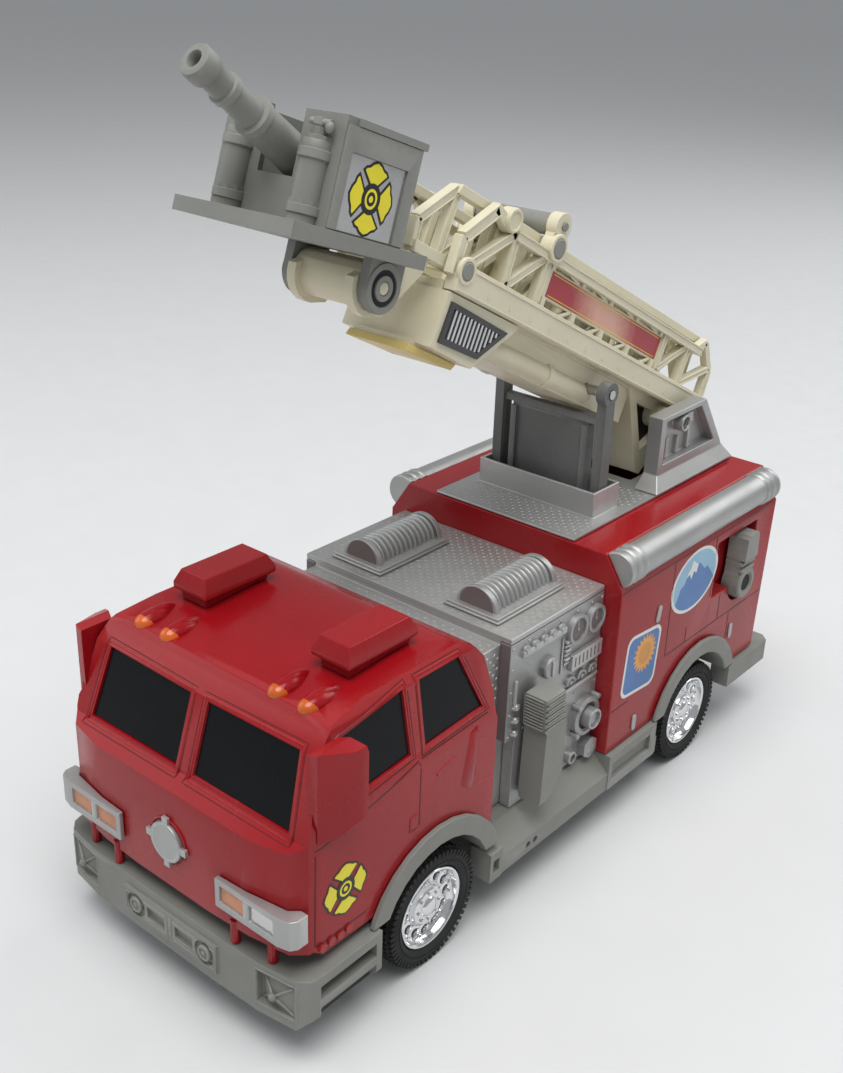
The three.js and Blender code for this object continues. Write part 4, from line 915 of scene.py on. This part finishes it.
def stickers():
    """Two plain stickers on each side: a peak in an oval, and a sun on a blue rounded square."""
    for side_name, side in SIDES:
        face = flat_frame((side * 65.02, 86.2, 102.8), (0, side, 0), (0, 0, 1))
        flat = lambda points, degrees: turned_points([(side * a, b) for a, b in points], side * degrees)

        def layer(name, points, degrees, material, height):
            shape = Shape(face)
            shape.prism("z", flat(points, degrees), 0, height)
            shape.made(f"{name}_{side_name}", material, "truck")

        def oval(grow):
            return [(21.0 * grow * math.cos(math.pi * k / 24), 15.4 * grow * math.sin(math.pi * k / 24))
                    for k in range(48)]

        peak = [(-2.6, 11.4), (2.2, 7.2), (3.8, 7.6), (8.2, 2.2), (11.0, 2.6), (17.2, -5.6)]
        slope = [(-17.2, -5.6), (-13.0, 0.8), (-9.4, 2.0), (-6.4, 7.0), (-4.4, 8.2)]
        bowl = [(18.9 * math.cos(math.radians(t)), 13.8 * math.sin(math.radians(t)))
                for t in range(-24, -157, -6)]
        layer("oval_sticker_edge", oval(1.0), 6, DECAL_WHITE, 0.1)
        layer("oval_sticker_sky", oval(0.91), 6, DECAL_SKY, 0.13)
        layer("oval_sticker_peak", slope + peak + bowl, 6, DECAL_BLUE, 0.16)
        snow = [(-2.6, 11.4), (2.2, 7.2), (0.4, 3.4), (-1.6, 5.6), (-4.0, 2.0), (-5.2, 5.4), (-8.0, 4.4),
                (-6.4, 7.0), (-4.4, 8.2)]
        layer("oval_sticker_snow", snow, 6, DECAL_WHITE, 0.19)
        face = flat_frame((side * 65.02, 44.3, 77.1), (0, side, 0), (0, 0, 1))

        def rounded(half, radius):
            points = []
            for quarter, (a, b) in enumerate(((1, 1), (-1, 1), (-1, -1), (1, -1))):
                points += arc(a * (half - radius), b * (half * 1.06 - radius), radius,
                              90 * quarter, 90 * quarter + 90, 8)
            return points

        layer("square_sticker_edge", rounded(14.4, 5.0), -5, DECAL_WHITE, 0.1)
        layer("square_sticker_field", rounded(12.9, 4.0), -5, DECAL_BLUE, 0.13)
        sun = [((8.4 + 1.2 * math.cos(20 * t)) * math.cos(t) + 2.0,
                (8.4 + 1.2 * math.cos(20 * t)) * math.sin(t) + 3.6)
               for t in (2 * math.pi * k / 120 for k in range(120))]
        layer("square_sticker_sun", sun, -5, DECAL_ORANGE, 0.16)
        layer("square_sticker_core", [(a + 2.0, b + 3.6) for a, b in arc(0, 0, 5.2, 0, 350, 35)], -5,
              DECAL_AMBER, 0.19)


def hose_tube(side_name, side):
    """A tube with a rolled collar at each end, cut flat where it lies on the body's shoulder."""
    low, high = (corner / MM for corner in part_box(f"hose_tube_{side_name}"))
    x, z = side * 60.4, 128.4
    shoulder = Vector((65 - 55, 119.5 - 134.7)).normalized()
    normal = Vector((-shoulder.y, shoulder.x))
    start = Vector((65, 119.5)) + normal * 0.3

    def ring_outline(radius):
        points = []
        for k in range(73):
            angle = 2 * math.pi * k / 72
            p = Vector((60.4 + radius * math.cos(angle), z + radius * math.sin(angle)))
            depth = (p - start).dot(normal)
            if depth < 0:
                p -= normal * depth
            points.append((side * p.x, p.y))
        return points[:-1]

    shape = Shape()
    stations = [(low.y, 6.6), (low.y, 7.6), (low.y + 0.5, 8.1), (low.y + 2.2, 8.2), (low.y + 3.0, 7.6)]
    for at in (low.y + 6.6, low.y + 11.4):
        stations += [(at - 1.6, 7.55), (at - 1.1, 8.1), (at, 8.3), (at + 1.1, 8.1), (at + 1.6, 7.55)]
    mirrored = [(low.y + high.y - y, r) for y, r in stations[::-1]]
    rings = [[shape.point(a, y, b) for a, b in ring_outline(r)] for y, r in stations + mirrored]
    for first, second in zip(rings, rings[1:]):
        for k in range(72):
            corners = (first[k], first[(k + 1) % 72], second[(k + 1) % 72], second[k])
            shape.mesh.faces.new(corners)
    shape.mesh.faces.new(rings[0][::-1])
    shape.mesh.faces.new(rings[-1])
    bmesh.ops.remove_doubles(shape.mesh, verts=shape.mesh.verts, dist=2e-5)
    shape.made(f"hose_tube_{side_name}_banded", SILVER, "truck", "silver_paint", (f"hose_tube_{side_name}",),
               angle=40)


rear_body_details()
stickers()


def side_lever_ring():
    hinge = centre("side_lever_pin")
    shape, dark = Shape(), Shape()
    shape.turned("x", [(68.5, 8.0), (69.3, 7.6), (69.3, 5.4), (68.5, 5.0)], (0, hinge.y, hinge.z), 48)
    # The black disc inside the ring is painted shade in the pivot's eye.
    dark.rod("x", 4.2, 68.5, 68.66, (0, hinge.y, hinge.z), 32)
    shape.made("side_lever_ring", GRAY, "side_lever", "gray_plastic")
    dark.made("side_lever_eye_shade", BLACK, "side_lever", "gray_plastic")


side_lever_ring()
for side_name, side in SIDES:
    hose_tube(side_name, side)
deck_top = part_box("turret_cheek_left")[0].z / MM - 0.3
lozenges("deck_lozenges_front", (-36.5, 36.5), (24, 43.5), deck_top, "truck")
lozenges("deck_lozenges_rear", (-36.5, 36.5), (67.5, 86.5), deck_top, "truck")


# ---------------------------------------------------------------- boom details

def boom_face(side, x):
    """Local X is backwards along the boom on the left side and forwards on the right, local Y is up."""
    turn = Matrix(((0, 0, side), (side, 0, 0), (0, 1, 0))).to_4x4()
    return BOOM @ Matrix.Translation((side * x * MM, 0, 0)) @ turn


def on_boom(side, outline):
    return [(-side * u, n) for u, n in outline]


def boom_details():
    discs, pads = Shape(), Shape()
    for side_name, side in SIDES:
        label = Shape(boom_face(side, 21.0))
        label.prism("z", on_boom(side, [(26, 21.9), (128.4, 21.9), (128.4, 32.3), (26, 32.3)]), 0, 0.14)
        label.made(f"ladder_label_{side_name}", LABEL, "boom")
        edge = Shape(boom_face(side, 21.0))
        for n in (22.6, 31.3):
            edge.prism("z", on_boom(side, [(27.5, n), (127, n), (127, n + 0.3), (27.5, n + 0.3)]), 0.1, 0.19)
        edge.made(f"ladder_label_lines_{side_name}", DECAL_YELLOW, "boom")
        for u, n, r in ((186.1, 14.8, 3.4), (134.4, 40.2, 3.9)):
            discs.matrix = boom_face(side, 0)
            discs.turned("z", [(23.2, r), (24.5, r), (24.9, r - 0.5), (24.9, 0)], (-side * u, n, 0), 36)
            pads.matrix = boom_face(side, 0)
            pads.turned("z", [(23.0, r + 1.7), (24.3, r + 1.7), (24.6, r + 1.4), (24.6, r + 0.3), (24.0, r)],
                        (-side * u, n, 0), 40)
        studs = Shape(boom_face(side, 24.0))
        for k in range(11):
            u = 12 + 15.6 * k
            studs.prism("z", on_boom(side, [(u, 9.4), (u + 1.0, 9.4), (u + 1.0, 11.4), (u, 11.4)]), -0.1,
                        0.35)
        studs.made(f"rail_studs_{side_name}", CREAM, "boom", "cream_plastic", bevel=0.15, segments=1)
    discs.made("rail_pin_heads", GRAY, "boom", "gray_plastic")
    pads.made("rail_pin_collars", CREAM, "boom", "cream_plastic")


GRILLE = [(186.9, 3), (187.3, -12.7), (161.4, -12.5), (147.1, 1.7)]


def grille(side_name, side):
    """A dark frame round bright upright slats."""
    frame_shape = Shape(boom_face(side, 22.0))
    outer, inner = on_boom(side, GRILLE), on_boom(side, grown(GRILLE, -2.2))
    loops = [[frame_shape.point(a, b, h) for a, b in points]
             for points, h in ((outer, 0.0), (outer, 1.1), (inner, 1.1), (inner, 0.3))]
    for low, high in zip(loops, loops[1:]):
        for k in range(4):
            frame_shape.mesh.faces.new((low[k], low[(k + 1) % 4], high[(k + 1) % 4], high[k]))
    frame_shape.mesh.faces.new([frame_shape.point(a, b, 0.32) for a, b in inner])
    frame_shape.made(f"head_grille_frame_{side_name}", DARK_FRAME, "boom", "silver_paint",
                     (f"head_grille_{side_name}",), bevel=0.2)
    slats = Shape(boom_face(side, 22.0))
    count = 12
    for i in range(count):
        u = 184.0 - (184.0 - 153.0) * (i + 0.5) / count
        low_n = -10.4 if u > 162.6 else -10.4 + (162.6 - u) * 0.985
        high_n = 0.9
        if high_n - low_n > 1.5:
            slats.prism("z",
                        on_boom(side,
                                [(u - 0.7, low_n), (u + 0.6, low_n), (u + 0.6, high_n), (u - 0.7, high_n)]),
                        0.3, 0.95)
    slats.made(f"head_grille_slats_{side_name}", SILVER_LENS, "boom", "silver_paint", bevel=0.15, segments=1)


def front_lip():
    """The yellowed plate under the front of the boom's head."""
    shape = Shape(BOOM)
    outline = [(-194.5, -19.3), (-164, -19.3), (-162, -16.4), (-193, -16.2)]
    shape.prism("x", outline, -15, 15)
    shape.made("boom_front_lip", YELLOWED, "boom", "cream_plastic", bevel=0.5)


def strip(p, q, width):
    """The outline of a straight bar between two points."""
    length = math.hypot(q[0] - p[0], q[1] - p[1])
    a, b = -(q[1] - p[1]) * width / 2 / length, (q[0] - p[0]) * width / 2 / length
    return [(p[0] + a, p[1] + b), (p[0] - a, p[1] - b), (q[0] - a, q[1] - b), (q[0] + a, q[1] + b)]


def outer_rail(side_name, side):
    """The fixed ladder side: a deep lower rail, an upper rail, end frames, posts and braces."""
    shape = Shape(boom_face(side, 0))
    inner = 18.2
    bars = [
        ((-15, 36.2), (161, 36.2), 3.8, 23), ((190.2, 12), (190.8, 26.2), 4.4, 22),
        ((190.6, 25.6), (176, 41), 4.8, 22), ((178, 41.2), (160, 36.6), 4.4, 22),
        ((182.4, 17), (161, 37), 3.6, 22), ((161, 37), (158.3, 17), 3.6, 22),
            ((158.3, 17), (137, 36), 3.6, 22),
        ((135, 14), (135, 38), 4, 22), ((-30.9, 14), (-30.4, 31.4), 3.8, 22),
            ((-31, 30.6), (-18.4, 42), 3.8, 22),
        ((-19, 42.2), (-11, 36), 3.8, 22), ((23.3, 14), (23.3, 37), 3.8, 22), ((-2, 14), (-2, 37), 3.8, 22),
        ((22.6, 17), (0, 35.6), 3, 22), ((-3.4, 17), (-28.6, 31), 3, 22), ((134.4, 38), (134.6, 49), 8, 22.6),
    ]
    posts, post_pitch = 5, 25.5
    for i in range(posts):
        u = 27.6 + post_pitch * i
        bars += [((u, 16), (u, 21.6), 2.6, 22), ((u, 32.6), (u, 35.4), 2.6, 22)]
        if i < posts - 1:
            bars += [((u + 2, 21.4), (u + 10, 17), 1.6, 21), ((u + 2, 33), (u + 12, 35.4), 1.6, 21)]
    shape.prism("z", on_boom(side, [(-33, 6.3), (-33, 17.3), (190.5, 17.3), (189.2, 6.5)]), inner, 24)
    shape.prism("z", on_boom(side, [(24.6, 21), (135, 21), (135, 33.2), (24.6, 33.2)]), inner, 21)
    for p, q, width, reach in bars:
        shape.prism("z", on_boom(side, strip(p, q, width)), inner, reach)
    for radius, reach, u, n in ((4.8, 23, 166.5, 40.4), (5.2, 23.4, 134.4, 40.2), (5.4, 23.4, 134.6, 48.9)):
        shape.rod("z", radius, inner, reach, (-side * u, n, 0), 40)
    shape.made(f"outer_rail_{side_name}_truss", CREAM, "boom", "cream_plastic", (f"outer_rail_{side_name}",),
               bevel=0.35)
    edge = Shape(boom_face(side, 0))
    edge.turned("z", [(22.9, 4.6), (23.6, 4.4), (23.6, 3.5), (23.0, 3.2)], (-side * 166.5, 40.4, 0), 40)
    for n in (7.4, 15.9):
        edge.prism("z",
                   on_boom(side, [(-32, n - 0.35), (188.5, n - 0.35), (188.5, n + 0.35), (-32, n + 0.35)]),
                   23.9, 24.4)
    edge.made(f"outer_rail_{side_name}_lines", CREAM, "boom", "cream_plastic", bevel=0.15, segments=1)


def inner_rail(side_name, side):
    """The sliding ladder side: two rails, posts, alternating braces and a sloping front frame."""
    shape = Shape(boom_face(side, 0))
    inner, outer, web = 12.3, 17.4, 16
    shape.prism("z", on_boom(side, [(-19, 13.5), (-19, 17.6), (211, 17.6), (210.2, 13.5)]), inner, outer)
    shape.prism("z", on_boom(side, [(-19, 40.2), (-19, 43.9), (195.6, 43), (196.6, 39.4)]), inner, outer)
    bars = [((210, 15), (211.2, 25.4), 3.8), ((211.4, 24.6), (195.4, 41.2), 3.8)]
    bays, bay = 8, 26.5
    for i in range(bays + 1):
        u = -17 + bay * i
        bars.append(((u, 15), (u, 42), 3.6))
        if i < bays:
            low, high = (16, 41) if i % 2 == 0 else (41, 16)
            bars.append(((u, low), (u + bay, high), 2.8))
    for p, q, width in bars:
        shape.prism("z", on_boom(side, strip(p, q, width)), inner, web)
    for p, q, width in bars:
        length = math.hypot(q[0] - p[0], q[1] - p[1])
        a, b = -(q[1] - p[1]) / length, (q[0] - p[0]) / length
        for edge in (-1, 1):
            shift = edge * (width / 2 - 0.4)
            line = strip((p[0] + a * shift, p[1] + b * shift), (q[0] + a * shift, q[1] + b * shift), 0.7)
            shape.prism("z", on_boom(side, line), web - 0.1, web + 0.4)
    shape.made(f"inner_rail_{side_name}_truss", CREAM, "ladder", "cream_plastic",
               (f"inner_rail_{side_name}",),
               bevel=0.25)


for side_name, side in SIDES:
    outer_rail(side_name, side)
    inner_rail(side_name, side)

OUTER_BARS = [
    ((-15, 36.2), (161, 36.2), 3.8, 23), ((190.2, 12), (190.8, 26.2), 4.4, 22),
              ((190.6, 25.6), (176, 41), 4.8, 22),
    ((182.4, 18.5), (163, 35.3), 3.6, 22), ((160.6, 34), (158.6, 19), 3.6, 22),
              ((156, 19), (138.6, 34.4), 3.6, 22),
    ((135, 18), (135, 34), 4, 22), ((22, 19), (1.6, 34.2), 3, 22), ((-4.6, 18), (-28, 30.6), 3, 22),
    ((23.3, 18), (23.3, 34), 3.8, 22), ((-2, 18), (-2, 34), 3.8, 22), ((-31, 18), (-30.4, 30.6), 3.8, 22),
]


def truss_edges():
    """Raised edges along both sides of each bar of the outer ladder."""
    shape = Shape()
    for _, side in SIDES:
        for (u0, n0), (u1, n1), width, x in OUTER_BARS:
            shape.matrix = boom_face(side, x)
            length = math.hypot(u1 - u0, n1 - n0)
            au, an = -(n1 - n0) / length, (u1 - u0) / length
            for edge in (-1, 1):
                near, far = edge * (width / 2 - 0.75), edge * (width / 2 - 0.05)
                corners = [(u0 + au * near, n0 + an * near), (u1 + au * near, n1 + an * near),
                           (u1 + au * far, n1 + an * far), (u0 + au * far, n0 + an * far)]
                shape.prism("z", on_boom(side, corners), -0.1, 0.45)
    shape.made("truss_edges", CREAM, "boom", "cream_plastic", bevel=0.15, segments=1)


def support_window():
    """A dark sheet behind the opening in each web of the boom's support: painted shade that hides the opening."""
    shape = Shape()
    for _, side in SIDES:
        shape.matrix = boom_face(side, 13.4)
        shape.prism("z", on_boom(side, [(24, 2), (4, -20), (-9, -8), (-13, 2)]), 0, 0.4)
    shape.made("support_window_shade", BLACK, "boom", "cream_plastic")


boom_details()
truss_edges()
support_window()
for side_name, side in SIDES:
    grille(side_name, side)
front_lip()


# ---------------------------------------------------------------- bucket and cannon details

def bottles():
    shape = Shape(BUCKET)
    for _, side in SIDES:
        at = (side * 17.2, -43.3, 0)
        profile = [(14, 0), (14, 5.0), (16.4, 5.0), (16.8, 5.6), (19.4, 5.6), (19.8, 4.9), (33.6, 4.9),
                   (34.0, 5.6),
                   (36.6, 5.6), (37.0, 4.9), (39.4, 4.7), (40.8, 3.6), (41.3, 2.2), (41.4, 1.5), (44.0, 1.5),
                   (44.2, 2.6), (46.6, 2.6), (46.8, 0)]
        shape.turned("z", profile, at, 40)
        shape.rod("x", 1.1, side * 17.2 - 3.6, side * 17.2 + 5.2, (0, -44.2, 45.2), 20)
        shape.dome((side * 17.2 + 5.0, -44.6, 43.8), (1.5, 1.5, 1.9), 16, 8)
    shape.made("bucket_air_bottles", GRAY, "bucket", "gray_plastic", angle=50)


def bucket_sides():
    frames, sheets, rings, black, pins = Shape(), Shape(), Shape(), Shape(), Shape()
    turn = {1: Matrix(((0, 0, 1), (1, 0, 0), (0, 1, 0))).to_4x4(),
            -1: Matrix(((0, 0, -1), (-1, 0, 0), (0, 1, 0))).to_4x4()}
    for side_name, side in SIDES:
        face = BUCKET @ Matrix.Translation((side * 26.5 * MM, 0, 0)) @ turn[side]
        outer = [(side * a, b) for a, b in ((-41.4, 14.4), (-41.4, 46.4), (-4.2, 46.4), (-4.2, 14.4))]
        inner = [(side * a, b) for a, b in ((-37.6, 14.5), (-37.6, 38.6), (-9.6, 38.6), (-9.6, 14.5))]
        frames.matrix = face
        loops = [[frames.point(a, b, h) for a, b in points]
                 for points, h in ((outer, -0.4), (outer, 0.9), (inner, 0.9), (inner, -0.1))]
        for low, high in zip(loops, loops[1:]):
            for k in range(4):
                frames.mesh.faces.new((low[k], low[(k + 1) % 4], high[(k + 1) % 4], high[k]))
        sheets.matrix = face
        sheets.prism("z",
                     [(side * a, b) for a, b in ((-37.4, 14.6), (-37.4, 38.4), (-9.8, 38.4), (-9.8, 14.6))],
                     0, 0.12)
        emblem(f"bucket_emblem_{side_name}",
               face @ Matrix.Translation((side * -24.0 * MM, 26.6 * MM, 0.12 * MM)), 11.2, "bucket", 0.9)
        ear = BUCKET @ Matrix.Translation((side * 20 * MM, 0, 0)) @ turn[side]
        black.matrix = rings.matrix = pins.matrix = ear
        black.rod("z", 6.4, -0.2, 0.06, (0, 0, 0), 40)
        rings.turned("z", [(0.0, 6.4), (0.5, 6.6), (0.5, 8.6), (0.0, 9.0)], (0, 0, 0), 48)
        rings.turned("z", [(0.0, 4.6), (0.6, 4.4), (0.6, 2.6), (0.0, 2.4)], (0, 0, 0), 40)
        pins.turned("z", [(0.0, 2.3), (0.4, 2.2), (0.55, 1.8), (0.55, 0)], (0, 0, 0), 28)
    frames.made("bucket_side_frames", GRAY, "bucket", "gray_plastic", bevel=0.3)
    sheets.made("bucket_side_sheets", DECAL_SILVER, "bucket")
    rings.made("bucket_ear_rings", GRAY, "bucket", "gray_plastic")
    black.made("bucket_ear_shadows", BLACK, "bucket", "gray_plastic")
    pins.made("bucket_pin_ends", CREAM, "bucket", "cream_plastic")


def cannon():
    """The barrel, turned in one piece with two collars, a flared nozzle and its bore."""
    shape = Shape(CANNON)
    heel = [(7 * math.cos(math.radians(a)), 7 * math.sin(math.radians(a))) for a in range(0, 91, 10)]
    barrel = [(-36.4, 6.2), (-36.8, 6.8), (-39.4, 6.8), (-39.8, 5.1), (-51.2, 4.75), (-51.5, 5.5),
              (-53.9, 5.5),
              (-54.3, 4.6), (-60.2, 4.5), (-61.2, 5.3), (-62.2, 5.8), (-66.8, 5.8), (-67.7, 5.3), (-68, 4.4),
              (-68, 3.0), (-67.4, 2.5), (-57, 2.4), (-57, 0)]
    heel[0] = (7, 0)
    shape.turned("y", heel + barrel, (0, 0, 0), 56)
    shape.made("water_cannon_barrel", GRAY, "cannon", "gray_plastic", ("water_cannon",), angle=40)
    # The black disc at the bottom of the bore is painted shade.
    bore = Shape(CANNON)
    bore.rod("y", 2.35, -58, -57.1, (0, 0, 0), 24)
    bore.made("water_cannon_bore_shade", BLACK, "cannon", "gray_plastic")


bottles()
bucket_sides()
cannon()


# ---------------------------------------------------------------- turned pins and screws

for name in sorted(set(NODES) - set(ROUNDED)):
    if name.endswith(("_pin", "_axle")) or name.startswith("chassis_screw"):
        refined(name, 0.2)


# ---------------------------------------------------------------- stage

def light(name, where, size, power, color=(1, 1, 1), target=(0, 0, 0.12)):
    lamp = bpy.data.lights.new(name, "AREA")
    lamp.shape = "DISK"
    lamp.size = size
    lamp.energy = power
    lamp.color = color
    holder = bpy.data.objects.new(name, lamp)
    holder.location = where
    holder.rotation_euler = (Vector(target) - Vector(where)).to_track_quat("-Z", "Y").to_euler()
    bpy.context.scene.collection.objects.link(holder)


def studio():
    bpy.ops.mesh.primitive_plane_add(size=60)
    floor = bpy.context.object
    floor.name = "floor"
    floor.data.materials.append(moulded("floor_paper", (0.66, 0.67, 0.68), 0.6, 0.05, 300.0, 0.01))
    light("key", (0.3, -0.4, 1.8), 1.5, 30.0, (1.0, 0.99, 0.97), (0, 0, 0.1))
    light("fill", (-1.3, -0.7, 0.9), 1.2, 5.0, (0.96, 0.98, 1.0))
    light("back", (0.4, 1.5, 1.2), 1.4, 11.0)
    world = bpy.data.worlds.new("studio")
    bpy.context.scene.world = world
    world.use_nodes = True
    world.node_tree.nodes["Background"].inputs["Color"].default_value = (0.83, 0.85, 0.87, 1)
    world.node_tree.nodes["Background"].inputs["Strength"].default_value = 0.42


def camera():
    azimuth, elevation, roll = (math.radians(a) for a in (CAMERA_AZIMUTH, CAMERA_ELEVATION, CAMERA_ROLL))
    back = Vector((math.sin(azimuth) * math.cos(elevation), -math.cos(azimuth) * math.cos(elevation),
                   math.sin(elevation)))
    right = Vector((math.cos(azimuth), math.sin(azimuth), 0))
    up = back.cross(right)
    across = right * math.cos(roll) + up * math.sin(roll)
    upright = -right * math.sin(roll) + up * math.cos(roll)
    data = bpy.data.cameras.new("camera")
    data.sensor_fit = "VERTICAL"
    data.sensor_height = SENSOR
    data.lens = CAMERA_FOCAL * SENSOR / IMAGE_HEIGHT
    data.clip_end = 80
    holder = bpy.data.objects.new("camera", data)
    turn = Matrix((across, upright, back)).transposed().to_4x4()
    holder.matrix_world = Matrix.Translation(Vector(CAMERA_MM) * MM) @ turn
    bpy.context.scene.collection.objects.link(holder)
    bpy.context.scene.camera = holder


studio()
camera()
bpy.context.scene.view_settings.view_transform = "Standard"
